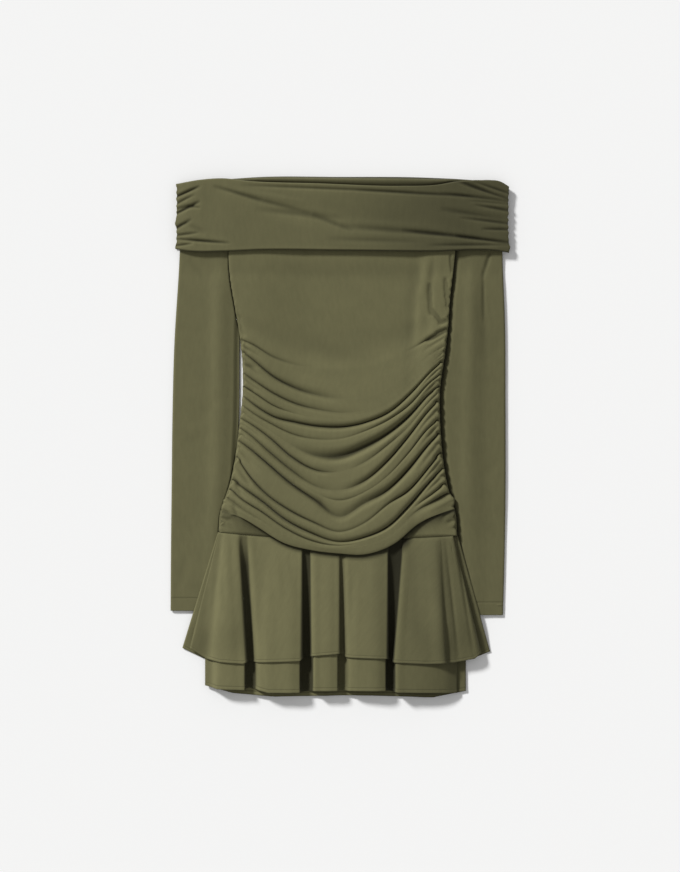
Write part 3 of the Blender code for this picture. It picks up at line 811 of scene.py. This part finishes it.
def front_surface(q):
    """Rows of x, down and height: valleys from the table and round ridges between them."""
    flat = (0.0,) * len(ACROSS)
    plain = [(row,) * len(ACROSS) for row in PLAIN_ROWS] + [LAST_PLAIN_ROW]
    folds = [(row, flat, PLAIN_WIDTH, PLAIN_WIDTH) for row in plain] + list(FRONT_FOLDS)
    rows = np.array([fold[0] for fold in folds], float)
    lines = np.array([through(ACROSS, row, q) for row in rows])
    depths = np.maximum([through(ACROSS, fold[1], q) for fold in folds], 0)
    widths = np.array([between(fold[3], fold[2], np.abs(q) ** 1.5) for fold in folds])
    xs, downs, heights = [], [], []
    for k in range(len(folds) - 1):
        spacing = lines[k + 1] - lines[k]
        parts = PLAIN_PARTS[k] if k < len(PLAIN_PARTS) else int(np.clip(spacing.max() / 1.7, 8, 17))
        above = np.minimum(0.75 * widths[k], spacing * 0.8)
        below = np.minimum(widths[k + 1], spacing * 0.9)
        for t in closer_at_ends(np.arange(parts) / parts, 0.5):
            line = lines[k] + spacing * t
            x, high = free_height(line, q, between(rows[k], rows[k + 1], t))
            sink = depths[k] * crease_shape(t * spacing, above)
            sink = sink + depths[k + 1] * crease_shape((1 - t) * spacing, below)
            pinch = PINCH * np.exp(-((t - 0.5) / 0.14) ** 2) * smooth_step(0.74, 0.95, np.abs(q))
            sink = sink + pinch * smooth_step(10, 18, spacing) * (depths[k] > 0.3)
            puff = PUFF * 4 * t * (1 - t) * np.minimum(depths[k], depths[k + 1]) / 3.5
            near = np.clip((1 - t) * spacing / below, 0, 1)
            lean = LEAN * depths[k + 1] * near * (1 - near) * np.clip(9 / widths[k + 1], 0, 1)
            height = high + (puff - RELIEF * sink) * calmed(q)
            xs.append(x)
            downs.append(line + lean)
            heights.append(np.maximum(height, back_height(x, line + lean) + OVER_BACK))
    return xs, downs, heights, lines[-1], depths[-1]


def roll_edge(x):
    """Down of the last roll's nose at any x of the front."""
    return through(ACROSS, ROLL_NOSE, np.clip(x, -ROLL_HALF, ROLL_HALF) / ROLL_HALF)


def roll_surface(q, last, last_depth):
    """Rows through the roll: over its nose, back up under itself, then down to the seam."""
    nose = through(ACROSS, ROLL_NOSE, q)
    x, high = free_height(nose, q, ROLL_NOSE)
    seam_x, _ = free_height(nose, q, (SEAM_DOWN,) * len(ACROSS))
    seam = seam_line(seam_x)
    seam_high = SEAM_HIGH + raised_by_sleeves(seam_x, seam)
    rolled = 1 - np.abs(q) ** 4
    first_x, first_high = free_height(last, q, FRONT_FOLDS[-1][0])
    first_high = first_high - RELIEF * last_depth * calmed(q)
    stations = [(first_x, last, np.maximum(first_high, back_height(first_x, last) + OVER_BACK))]
    for share, past, tuck, level in ROLL_ROWS:
        plain = between(last, seam, share)
        folded = np.maximum(nose + past, last + 0.8) + tuck * TUCK
        stations.append((between(x, seam_x, share), between(plain, folded, rolled),
                         between(seam_high, high, level)))
    stations.append((seam_x, seam - GAP / 2, seam_high))
    table = np.array(stations)
    places = np.arange(len(table))
    at = np.linspace(0, len(table) - 1, ROLL_STEPS)
    return [through(places, table[:, k], at) for k in range(3)]

# %% [markdown]
# ### Closing the front
#
# At the side seams the front turns down to the back. A bevel would round it evenly,
# but gathered cloth bulges, so a few columns follow a quarter ellipse, pulled in
# where the seam is gathered. Then the whole grid is made into one cloth.

# %% The whole front
def side_lip(x, down, height, way):
    """Columns that round the cloth off at a side seam: a quarter ellipse down to the back's cloth."""
    angle = np.linspace(0.2, 1.0, 6) * np.pi / 2
    angle = angle if way > 0 else angle[::-1]
    foot = np.minimum(back_height(x, down) + 1.0, height - 0.4)
    out = LIP * np.sin(angle)
    fall = (height - foot)[:, None] * (1 - np.cos(angle))
    return x[:, None] + way * out, np.repeat(down[:, None], len(angle), axis=1), height[:, None] - fall


def make_body_front():
    """The whole front: pleated rows, the roll, the strokes and gathers, and the rounded side seams."""
    s = np.linspace(-1, 1, FRONT_COLUMNS)
    q = 0.45 * s + 0.55 * np.sin(np.pi / 2 * s)
    xs, downs, heights, last, last_depth = front_surface(q)
    x, down, height = (np.array(part) for part in (xs, downs, heights))
    roll_x, roll_down, roll_height = roll_surface(q, last, last_depth)
    height = height - strokes(FRONT_STROKES, x, down) * smooth_step(100, 125, down)
    height = np.maximum(height, back_height(x, down) + OVER_BACK)
    at_hips = strokes(HIP_STROKES, roll_x, roll_down) * smooth_step(0.80, 0.92, np.abs(q))
    at_hips = at_hips * (1 - smooth_step(0.86, 1.0, np.linspace(0, 1, ROLL_STEPS))[:, None])
    roll_height = np.maximum(roll_height - at_hips, back_height(roll_x, roll_down) + OVER_BACK)
    x = np.concatenate((x, roll_x))
    down = np.concatenate((down, roll_down))
    height = np.concatenate((height, roll_height))
    near_left = np.clip(1 - (q + 1) / 0.10, 0, 1) ** 2
    near_right = np.clip(1 - (1 - q) / 0.10, 0, 1) ** 2
    x = x + GATHER * notches(LEFT_GATHERS, down, 2.6) * near_left
    x = x - GATHER * notches(RIGHT_GATHERS, down, 2.6) * near_right
    grid = [x, down, height]
    left = side_lip(x[:, 0], down[:, 0], height[:, 0], -1)
    right = side_lip(x[:, -1], down[:, -1], height[:, -1], 1)
    x, down, height = (np.concatenate((a, b, c), axis=1) for a, b, c in zip(left, grid, right))
    print("front cloth", x.shape, "highest", round(float(height.max()), 1), "mm")
    middle = place(x, down, height)
    # Painted shade: darker in the creases, and on the strip of front just below the roll's edge.
    shade = fold_depth(middle, (40, 24), 2.3)
    past_nose = np.arange(len(x)) > len(xs) + NOSE_ROW
    below = np.exp(-np.clip(down - roll_edge(x), 0, None) / PANEL_FADE)
    shade = np.where(past_nose[:, None], np.maximum(shade, PANEL_SHADE * below), shade)
    return sheet_piece("body_front", middle, shade)


body_front = make_body_front()
dress_piece(body_front, "body_front")

# %% [markdown]
# ## The fold-over band
#
# The neckline band is cut twice as deep as it shows and folded, so it is a
# flattened tube with a rolled top and a soft fold at its lower edge. It is ruched
# where front and back meet at the shoulders, and from there fine creases fan out.
# The section is the same loop as a sleeve's, but it runs down the dress and is
# swept across it. The back band's top rolls up behind the front one and shows as
# a plump strip between their two edges, so its section is raised there.

# %% Front and back band
BAND_LEFT = -229.0
BAND_RIGHT = 236.0
BAND_HIGH = 4.8
BAND_RELIEF = 1.9
BACK_TOP = ((-229, 13), (-192, 7), (-165, 4), (-119, 0.5), (0, 0), (119, 1), (185, 4.5), (226, 9), (236, 16))
FRONT_TOP = ((-229, 10.5), (-192, 4.5), (-165, 3), (-130, 6.5), (-28, 10), (84, 13.5), (135, 12), (165, 7),
             (200, 5.5), (226, 8), (236, 14))
BACK_ROLL = 8.6
BAND_GATHER_REACH = 16.0
FRONT_FOLD = ((-229, 101.5), (-219, 103.5), (-159, 105), (-112, 103), (0, 103.6), (126, 105), (226, 105),
              (238, 107))
BACK_FOLD = ((-229, 101), (0, 102), (238, 104))
FRONT_SEAT = ((-229, 4.8), (-215, 6.7), (-185, 8.0), (-150, 9.5), (-110, 9.4), (-60, 9.0), (0, 8.6),
              (60, 8.9), (110, 9.4), (150, 9.5), (185, 8.0), (215, 6.8), (236, 4.6))
FLOOR_SEAT = ((-229, 0.0), (238, 0.0))
BAND_STROKES = (
    (-140, 13, 110, 23, 2.4, 0.9),
    (20, 20, 190, 29, 2.4, 1.1),
    (140, 24, 250, 37, 2.4, 1.1),
    (-178, 14, -108, 34, 3.0, 0.9),
    (-150, 24, -40, 52, 3.5, 0.7),
    (-120, 46, 10, 60, 5, 0.8),
    (-40, 54, 20, 77, 4, 0.8),
    (0, 70, 150, 82, 5, 1.0),
    (-130, 28, 20, 76, 12, 0.5),
    (-90, 40, 120, 66, 14, 0.4),
    (-150, 20, -40, 38, 5, -0.4),
    (85, 76, 200, 88, 3.0, 1.5),
    (160, 84, 244, 94, 2.5, 1.6),
    (124, 97, 244, 96, 2.5, 0.9),
    (-20, 88, 120, 92, 4, 0.5),
    (138, 46, 238, 62, 4.0, 0.9),
    (166, 58, 246, 68, 2.5, 1.2),
    (186, 40, 246, 50, 2.5, 1.3),
    (176, 34, 242, 40, 2.5, 0.9),
    (150, 2, 216, 24, 2.2, 1.2),
    (160, 8, 244, 35, 2.2, 1.4),
    (186, 8, 244, 27, 2.2, 1.1),
    (196, 74, 244, 75, 2.0, 1.0),
    (-236, 32, -194, 14, 2.2, 1.6),
    (-236, 42, -202, 26, 2.0, 1.0),
    (-234, 55, -194, 35, 2.3, 1.8),
    (-214, 42, -194, 44, 2.0, 1.0),
    (-234, 48, -208, 40, 2.0, 0.9),
    (-238, 78, -206, 60, 2.2, 1.3),
    (-238, 84, -196, 79, 2.2, 1.1),
    (-238, 87, -152, 94, 2.2, 1.5),
    (-234, 98, -204, 94, 2.0, 1.0),
    (-218, 66, -186, 80, 5.0, 0.5),
)
BAND_LEFT_GATHERS = ((18, 2.0), (27, 1.4), (37, 2.2), (46, 1.6), (54, 1.2), (66, -1.4), (74, 1.2), (82, 1.8),
                     (91, 1.2), (99, -1.0))
BAND_RIGHT_GATHERS = ((20, 0.6), (29, 1.6), (38, 2.0), (47, 1.6), (57, 2.2), (66, 2.6), (75, 1.6), (84, 1.4),
                      (92, 0.6), (99, -1.6))
print(len(BAND_STROKES), "creases in the band")

# %% Sections of the bands
def back_roll(x, down):
    """Height that the back band's top roll adds where it shows above the front band."""
    top, front = curve(BACK_TOP, x), curve(FRONT_TOP, x)
    share = (down - top) / max(front - top + 2.0, 3.0)
    showing = np.clip((front - top - 2.0) / 5.0, 0, 1)
    return BACK_ROLL * showing * smooth_step(0.0, 0.4, share) * smooth_step(1.45, 0.45, share)


def make_band(node, top, fold, seat, high, table, over_points, under_points, across_points, rolled=0):
    """Loop sections of a band from its top roll to its fold, side by side from left to right."""
    xs = between(BAND_LEFT, BAND_RIGHT, closer_at_ends(np.linspace(0, 1, across_points), 0.55))

    def profile(f):
        return rounded_edges(f, 0.02)

    rows = []
    for x, first, last, under in zip(xs, curve(top, xs), curve(fold, xs), curve(seat, xs)):
        down, height, upper = loop_section(first + GAP, last - GAP, under + CLOTH / 2, high - CLOTH,
                                           profile, over_points, under_points)
        sink = BAND_RELIEF * strokes(table, np.full(len(down), x), down)
        inside = rounded_edges(np.clip((down - first) / (last - first), 0, 1), 0.05)
        height = height - np.where(upper, np.minimum(sink, high - 2 * CLOTH) * inside, 0)
        height = height + np.where(upper, rolled * back_roll(x, down), 0)
        near_left = np.clip(1 - (x - BAND_LEFT) / BAND_GATHER_REACH, 0, 1) ** 2
        near_right = np.clip(1 - (BAND_RIGHT - x) / BAND_GATHER_REACH, 0, 1) ** 2
        moved = x + notches(BAND_LEFT_GATHERS, down, 3.2) * near_left
        moved = moved - notches(BAND_RIGHT_GATHERS, down, 3.2) * near_right
        rows.append(place(moved, down, height))
    middle = np.array(rows)
    out = -facing(middle, ring=True) * (CLOTH / 2 * MM)
    # Painted shade in the band's creases.
    over = fold_depth(middle[:, :over_points], (10, 40), 1.7)
    shade = np.pad(over, ((0, 0), (0, under_points)))[::-1]
    return cloth_mesh(node, (middle + out)[::-1], (middle - out)[::-1], ring=True, rows_across=True,
                      fold=shade)


collar_back = make_band("collar_back", BACK_TOP, BACK_FOLD, FLOOR_SEAT, BACK_BAND_HIGH, (),
                        over_points=90, under_points=12, across_points=200, rolled=1)
dress_piece(collar_back, "collar_back", cloth=BACK_BAND_JERSEY)
collar_front = make_band("collar_front", FRONT_TOP, FRONT_FOLD, FRONT_SEAT, BAND_HIGH, BAND_STROKES,
                         over_points=96, under_points=16, across_points=330)
dress_piece(collar_front, "collar_front",
            cloth=BAND_JERSEY)

# %% [markdown]
# ## The ruffles
#
# A flared ruffle is cut from a ring, so its hem is much longer than its seam and
# stands in deep flutes. The photograph shows dark valleys that run nearly straight
# from seam to hem, and between them flutes that rise slowly from the left and drop
# sharply at the right, so that their left sides are bright. A section across the
# ruffle is drawn through crests, shoulders and valley floors. Where a wall is
# steep it leans back under its shoulder, as soft cloth does, and that darkens a
# valley. Low relief alone leaves it too pale, so shade is also painted into the
# colour of the valleys, of the cloth under the front's roll and of the line above
# the rolled hem. The lower tier falls in the same flutes, just inside the
# upper one, so it is made from the same points moved inwards.

# %% Flutes of the front ruffles
# A valley: left side at seam and hem, right side at seam and hem, height of its
# floor at the hem, how wide its left and right shoulders are, undercut of each.
# A flute: x of its crest at seam and hem, height of the crest at the hem. An end:
# x at seam and hem, height at the hem, and at the right the shoulder's share.
# A valley's painted shade: its weight, how far it reaches past the left and right side,
# and the share of the drop by which it is full.
UPPER_DROP = 164.0
LOWER_DROP = 210.0
LOWER_REACH = LOWER_DROP / UPPER_DROP
RUFFLE_VALLEYS = (
    (-140.0, -130.5, -131.0, -120.0, 4.6, 13.0, 15.0, 1.6, 0.0),
    (-52.0, -54.0, -42.0, -40.0, 4.6, 8.0, 2.5, 2.2, 1.6),
    (0.0, -1.5, 3.0, 6.5, 6.0, 8.0, 14.0, 1.2, 0.0),
    (67.5, 65.5, 88.0, 74.5, 4.6, 6.0, 2.5, 2.2, 1.6),
    (138.0, 148.0, 146.0, 160.0, 14.0, 22.0, 8.0, 0.0, 0.0),
)
RUFFLE_FLUTES = (
    (-157.5, -158.0, 18.0),
    (-82.0, -88.0, 20.0),
    (-26.0, -27.0, 19.0),
    (28.0, 29.0, 19.5),
    (100.0, 92.0, 20.0),
    (153.0, 178.0, 13.0),
)
LOWER_FLOOR = 5.7
LEFT_RISE = ((-165.0, -190.0, 0.12), (-160.0, -172.0, 0.84))
UPPER_FRONT_ENDS = ((-168.5, -210.0, 5.8), (157.5, 197.0, 7.0, 0.6))
LOWER_FRONT_ENDS = ((-166.0, -189.0, 6.6), (154.0, 164.5, 7.6, 0.34))
UPPER_FRONT_HEM = ((-210, 659), (-187, 673), (-168, 677.5), (-135, 680), (-128, 677), (-115, 678), (-56, 676),
                   (-50, 671), (-38, 669), (-1, 666), (5, 669), (9, 671), (66, 673), (76, 678), (123, 680),
                   (161, 678), (188, 673), (197, 665))
LOWER_FRONT_HEM = ((-189, 711), (-173, 715.5), (-133, 717), (-127, 714), (-100, 720.5), (-56, 720.5),
                   (-38, 718), (66, 718), (80, 720), (165, 721.5))
NEST = 2.3
ROLL_SHADE = 1.15
ROLL_WEDGE = 1.2
ROLL_WEDGE_AT = 90.0
ROLL_WEDGE_WIDE = 15.0
VALLEY_SHADES = (
    (1.2, 3.0, 3.0, 0.25),
    (1.25, 3.0, 2.0, 0.10),
    (0.6, 2.0, 5.0, 0.25),
    (1.35, 2.5, 2.0, 0.02),
    (0.25, 16.0, 6.0, 0.30),
)

# %% Sections of the front ruffles
def flute_section(share, ends, flutes, valleys):
    """Path across a front tier: end, rise, crest, shoulder, leaning wall, floor, wall, shoulder and so on."""
    opened = share ** 0.55

    def risen(at_hem):
        return between(SEAM_HIGH, at_hem, opened)

    left, right = ends
    start = risen(left[2])
    stations = [(between(left[0], left[1], share), start)]
    for at_seam, at_hem, part in LEFT_RISE:
        x = between(at_seam, max(at_hem, left[1] + 6), share)
        stations.append((x, between(start, risen(flutes[0][2]), part)))
    for i, flute in enumerate(flutes):
        crest = risen(flute[2])
        stations.append((between(flute[0], flute[1], share), crest))
        if i == len(valleys):
            break
        seam_left, hem_left, seam_right, hem_right, floor, soft_left, soft_right = valleys[i][:7]
        low = risen(floor)
        x0, x1 = between(seam_left, hem_left, share), between(seam_right, hem_right, share)
        drop, lift = crest - low, risen(flutes[i + 1][2]) - low
        lean_left, lean_right = (lean * opened for lean in valleys[i][7:])
        lean_left = lean_left - 1.2 * (1 - opened) - 0.15
        stations += [
            (x0 - soft_left, low + drop * 0.95),
            (x0 + lean_left, low + drop * 0.74),
            (x0 - lean_left, low + drop * 0.36),
            (between(x0, x1, 0.22) + 0.4, low + drop * 0.04),
            (between(x1, x0, 0.22) - 0.4, low + lift * 0.04),
            (x1 + lean_right + soft_right * 0.15, low + lift * 0.36),
            (x1 - lean_right + soft_right * 0.35, low + lift * 0.70),
            (x1 + soft_right, low + lift * 0.93),
        ]
    crest_x, crest = stations[-1]
    end_x, end = between(right[0], right[1], share), risen(right[2])
    stations.append((between(crest_x, end_x, 0.86), between(end, crest, right[3])))
    stations.append((end_x, end))
    return smooth_path(np.array(stations), 7)


def hang(x, hem, part):
    """Down of a tier's rows: from the seam line to the hem, whose downs are given by x."""
    top = seam_line(x[0]) + GAP
    hem_down = np.interp(x[-1], [point[0] for point in hem], [point[1] for point in hem])
    return between(top, hem_down, part)


def ruffle_front(shares, ends, flutes, valleys, hem):
    """x, down and height of a front tier: one section after another, hung from the seam."""
    rows = np.array([flute_section(min(share, 1.0), ends, flutes, valleys) for share in shares])
    x, high = rows[:, :, 0], rows[:, :, 1]
    down = hang(x, hem, (shares / shares[-1])[:, None])
    return x, down, high + raised_by_sleeves(x, down)

# %% [markdown]
# ### Shade and hems of the ruffles
#
# The hem is rolled over a thread and sewn, which leaves a thicker edge with a
# needle line above it. Both are a few rows of the same grid: the rows stand further
# apart from the middle surface, and the line and the turned edge are darkened with
# painted shade. The valleys and the cloth under the front's roll get painted shade
# as well.

# %% Shade and hems
def valley_shade(x, shares, valleys):
    """Painted shade of the valleys: how far inside a valley a point lies, 0 to its weight, between the
    valley's two moving sides.
    """
    part = np.clip(shares, 0, 1)[:, None]
    shade = np.zeros(x.shape)
    for valley, (weight, lead, tail, start) in zip(valleys, VALLEY_SHADES):
        left, right = between(valley[0], valley[1], part), between(valley[2], valley[3], part)
        inside = smooth_step(-lead, 0.5, x - left) * smooth_step(tail, -0.5, x - right)
        shade = np.maximum(shade, weight * inside * (0.4 + 0.6 * smooth_step(0.0, start, part)))
    return shade


def under_roll(x, down):
    """Painted contact shade of the front's last roll: 1 at its edge, 0 from 10 mm below, more in the right
    wedge.
    """
    below = down - roll_edge(x)
    wedge = ROLL_WEDGE * np.exp(-((x - ROLL_WEDGE_AT) / ROLL_WEDGE_WIDE) ** 2) * smooth_step(26.0, 6.0, below)
    return np.maximum(smooth_step(8.0, 1.0, below - 2.0), wedge)


def hem_roll(shares):
    """How much the narrow rolled hem stands proud of the cloth, by the share of the drop."""
    part = shares / shares[-1]
    return 0.3 * smooth_step(0.976, 0.986, part)


def hem_line(shares):
    """Painted shade of the needle line above the rolled hem, and of the hem's own turned edge."""
    part = shares / shares[-1]
    return 0.55 * np.exp(-((part - 0.977) / 0.0035) ** 2) + 0.6 * smooth_step(0.991, 1.0, part)


def rolled_piece(name, middle, shares, fold=None):
    """A tier's wall, thickened over its last few millimetres by the rolled hem."""
    out = facing(middle) * MM
    half = (CLOTH / 2 + hem_roll(shares))[:, None, None]
    fold = np.zeros(middle.shape[:2]) if fold is None else fold
    # Painted shade along the needle line and the turned edge of the hem.
    fold = np.maximum(fold, hem_line(shares)[:, None])
    return cloth_mesh(name, middle + out * half, middle - out * half, fold=fold)

# %% The front ruffles
RUFFLE_STROKES = (
    (-176, 530, -184, 640, 5, -0.8),
    (-166, 520, -160, 600, 4, 0.7),
    (-104, 512, -112, 660, 7, 0.8),
    (-88, 514, -84, 610, 5, -0.7),
    (-70, 520, -66, 560, 4, 0.6),
    (20, 540, 12, 660, 6, 0.9),
    (44, 520, 48, 600, 5, -0.6),
    (112, 520, 118, 640, 8, -0.7),
    (126, 510, 138, 600, 5, 0.8),
    (96, 560, 90, 650, 5, 0.6),
    (170, 600, 186, 664, 5, 0.8),
    (158, 490, 190, 690, 2.2, 2.4),
    (146, 500, 168, 690, 2.6, 1.2),
)


def make_front_ruffles():
    """The upper tier, and the lower one nested inside the same flutes."""
    shares = np.concatenate((np.linspace(0, 0.965, 60), between(0.965, 1.0, np.linspace(0.08, 1, 14))))
    x, down, high = ruffle_front(shares, UPPER_FRONT_ENDS, RUFFLE_FLUTES, RUFFLE_VALLEYS, UPPER_FRONT_HEM)
    high = high - strokes(RUFFLE_STROKES, x, down)
    middle = place(x, down, high)
    # Painted shade: the valleys, the creases and the cloth just under the roll's edge are darkened in the
    # colour.
    shade = np.maximum(valley_shade(x, shares, RUFFLE_VALLEYS), fold_depth(middle, (4, 90), 5.5))
    shade = np.maximum(shade, ROLL_SHADE * under_roll(x, down))
    upper = rolled_piece("ruffle_upper_front", middle, shares, shade)
    length = np.hypot(np.diff(x[-1]), np.diff(high[-1])).sum()
    print("upper tier section is", round(float(length)), "mm at the hem")

    shares = LOWER_REACH * shares
    straight = [valley[:4] + (max(valley[4], LOWER_FLOOR),) + valley[5:7] + (0.0, 0.0)
                for valley in RUFFLE_VALLEYS[:-1]]
    x, down, high = ruffle_front(shares, LOWER_FRONT_ENDS, RUFFLE_FLUTES[:-1], straight, LOWER_FRONT_HEM)
    outer = place(x, down, high)
    inner = outer - facing(outer) * (NEST * MM)
    inner[..., 1] = outer[..., 1]
    # Painted shade of the lower tier's valleys and creases.
    shade = np.maximum(valley_shade(x, shares, straight), fold_depth(inner, (4, 60), 7.0))
    return upper, rolled_piece("ruffle_lower_front", inner, shares, shade)


ruffle_upper_front, ruffle_lower_front = make_front_ruffles()
dress_piece(ruffle_upper_front, "ruffle_upper_front",
            cloth=RUFFLE_JERSEY)
dress_piece(ruffle_lower_front, "ruffle_lower_front",
            cloth=RUFFLE_JERSEY)

# %% [markdown]
# ## The back of the ruffles
#
# The back tiers carry the weight of the dress and lie nearly flat. The upper one
# shows as a strip beyond both ends of the front tier, and the lower one as a
# shadowed edge below the hem, so they are the same flared cut with low waves.

# %% Back ruffles
UPPER_BACK_ENDS = ((-170.5, -220.5), (164.5, 210.0))
UPPER_BACK_HEM = ((-220.5, 659), (-190, 674), (185, 674), (210, 664))
LOWER_BACK_ENDS = ((-168.5, -186.0), (162.0, 176.0))
LOWER_BACK_HEM = ((-186, 712), (-150, 722), (-90, 727), (20, 725), (130, 728), (176, 719))
BACK_RIDGES = ((-103, 26), (-20, 18), (27, 22), (118, 26))
BACK_LAYER = 1.8
BACK_WAVE = 2.6


def back_wave(x, down):
    """Low round waves under the front's flutes, growing from the seam to the hem."""
    wave = np.zeros(np.shape(x))
    for ridge, reach in BACK_RIDGES:
        wave = np.maximum(wave, np.cos(np.clip((x - ridge) / reach, -1, 1) * np.pi / 2) ** 2)
    return BACK_WAVE * wave * np.clip((down - SEAM_DOWN) / UPPER_DROP, 0, 1)


def make_back_ruffle(name, ends, hem, drop, level):
    """A flared grid between its two ends, raised over the sleeves; level 1 lies on level 0 and is waved."""
    shares = drop * np.concatenate((np.linspace(0, 0.97, 50), between(0.97, 1.0, np.linspace(0.1, 1, 12))))
    reach = np.minimum(shares, 1.0)[:, None]
    left, right = (between(at_seam, at_hem, reach) for at_seam, at_hem in ends)
    x = between(left, right, np.linspace(0, 1, 200))
    part = (shares / shares[-1])[:, None]
    down = hang(x, hem, part)
    high = CLOTH / 2 + level * (BACK_LAYER + back_wave(x, down)) + raised_by_sleeves(x, down)
    high = high + 0.3 * smooth_step(0.9, 1.0, part)
    return rolled_piece(name, place(x, down, high), shares)


ruffle_upper_back = make_back_ruffle("ruffle_upper_back", UPPER_BACK_ENDS, UPPER_BACK_HEM, 1.0, 0)
dress_piece(ruffle_upper_back, "ruffle_upper_back",
            cloth=RUFFLE_JERSEY)
ruffle_lower_back = make_back_ruffle("ruffle_lower_back", LOWER_BACK_ENDS, LOWER_BACK_HEM, LOWER_REACH, 1)
dress_piece(ruffle_lower_back, "ruffle_lower_back",
            cloth=RUFFLE_JERSEY)

# %% [markdown]
# ## Floor, light and camera
#
# The dress was photographed on a white surface, from straight above, in soft
# light from all round with one broad lamp at the upper left. A pale plane, an
# even white world and a low sun with a wide angle give the same soft shadows to
# the lower right. A long lens three metres up keeps the view free of perspective.

# %% Studio
FLOOR_HALF = 25.0
FLOOR_LEVEL = -0.0002
MM_PER_PIXEL = 1.4
IMAGE_SIZE = (680, 872)
CAMERA_HIGH = 3.0
SENSOR = 36.0
FRAME_ABOVE = 1.4
WORLD_LIGHT = 0.42
KEY_LIGHT = 3.7
KEY_WIDE = 10.0
KEY_ELEVATION = 30.0
KEY_FROM = 225.0


def make_floor():
    """A square plane just under the dress."""
    mesh = bpy.data.meshes.new("floor")
    corners = [(x * FLOOR_HALF, y * FLOOR_HALF, FLOOR_LEVEL) for x, y in ((-1, -1), (1, -1), (1, 1), (-1, 1))]
    mesh.from_pydata(corners, [], [(0, 1, 2, 3)])
    floor = bpy.data.objects.new("floor", mesh)
    bpy.context.scene.collection.objects.link(floor)
    paper = bpy.data.materials.new("white_paper")
    paper.use_nodes = True
    shader = paper.node_tree.nodes["Principled BSDF"]
    shader.inputs["Base Color"].default_value = (0.90, 0.90, 0.895, 1.0)
    shader.inputs["Roughness"].default_value = 0.9
    shader.inputs["Specular IOR Level"].default_value = 0.1
    mesh.materials.append(paper)


def make_light():
    """Even world light and one wide low sun from the upper left."""
    world = bpy.data.worlds.new("studio")
    world.use_nodes = True
    world.node_tree.nodes["Background"].inputs["Color"].default_value = (1.0, 1.0, 1.0, 1.0)
    world.node_tree.nodes["Background"].inputs["Strength"].default_value = WORLD_LIGHT
    bpy.context.scene.world = world
    lamp = bpy.data.lights.new("key", "SUN")
    lamp.energy = KEY_LIGHT
    lamp.angle = math.radians(KEY_WIDE)
    key = bpy.data.objects.new("key", lamp)
    bpy.context.scene.collection.objects.link(key)
    key.rotation_euler = (math.radians(90.0 - KEY_ELEVATION), 0.0, math.radians(KEY_FROM))


def make_camera():
    """Straight down over the middle of the photograph's frame, with its height filling the sensor."""
    lens = bpy.data.cameras.new("camera")
    lens.sensor_width = SENSOR
    lens.lens = SENSOR * CAMERA_HIGH / (IMAGE_SIZE[1] * MM_PER_PIXEL * MM)
    camera = bpy.data.objects.new("camera", lens)
    bpy.context.scene.collection.objects.link(camera)
    camera.location = (SHIFT_X * MM, (FRAME_ABOVE + SHIFT_Y) * MM, CAMERA_HIGH)
    bpy.context.scene.camera = camera


make_floor()
make_light()
make_camera()
bpy.context.scene.view_settings.view_transform = "Standard"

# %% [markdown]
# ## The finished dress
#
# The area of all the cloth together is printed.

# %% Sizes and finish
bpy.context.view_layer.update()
print("all cloth:", round(sum(skin_area(piece) for piece in (
    sleeve_left, sleeve_right, body_back, body_front, collar_back, collar_front, ruffle_upper_front,
    ruffle_lower_front, ruffle_upper_back, ruffle_lower_back)), 3), "m2")
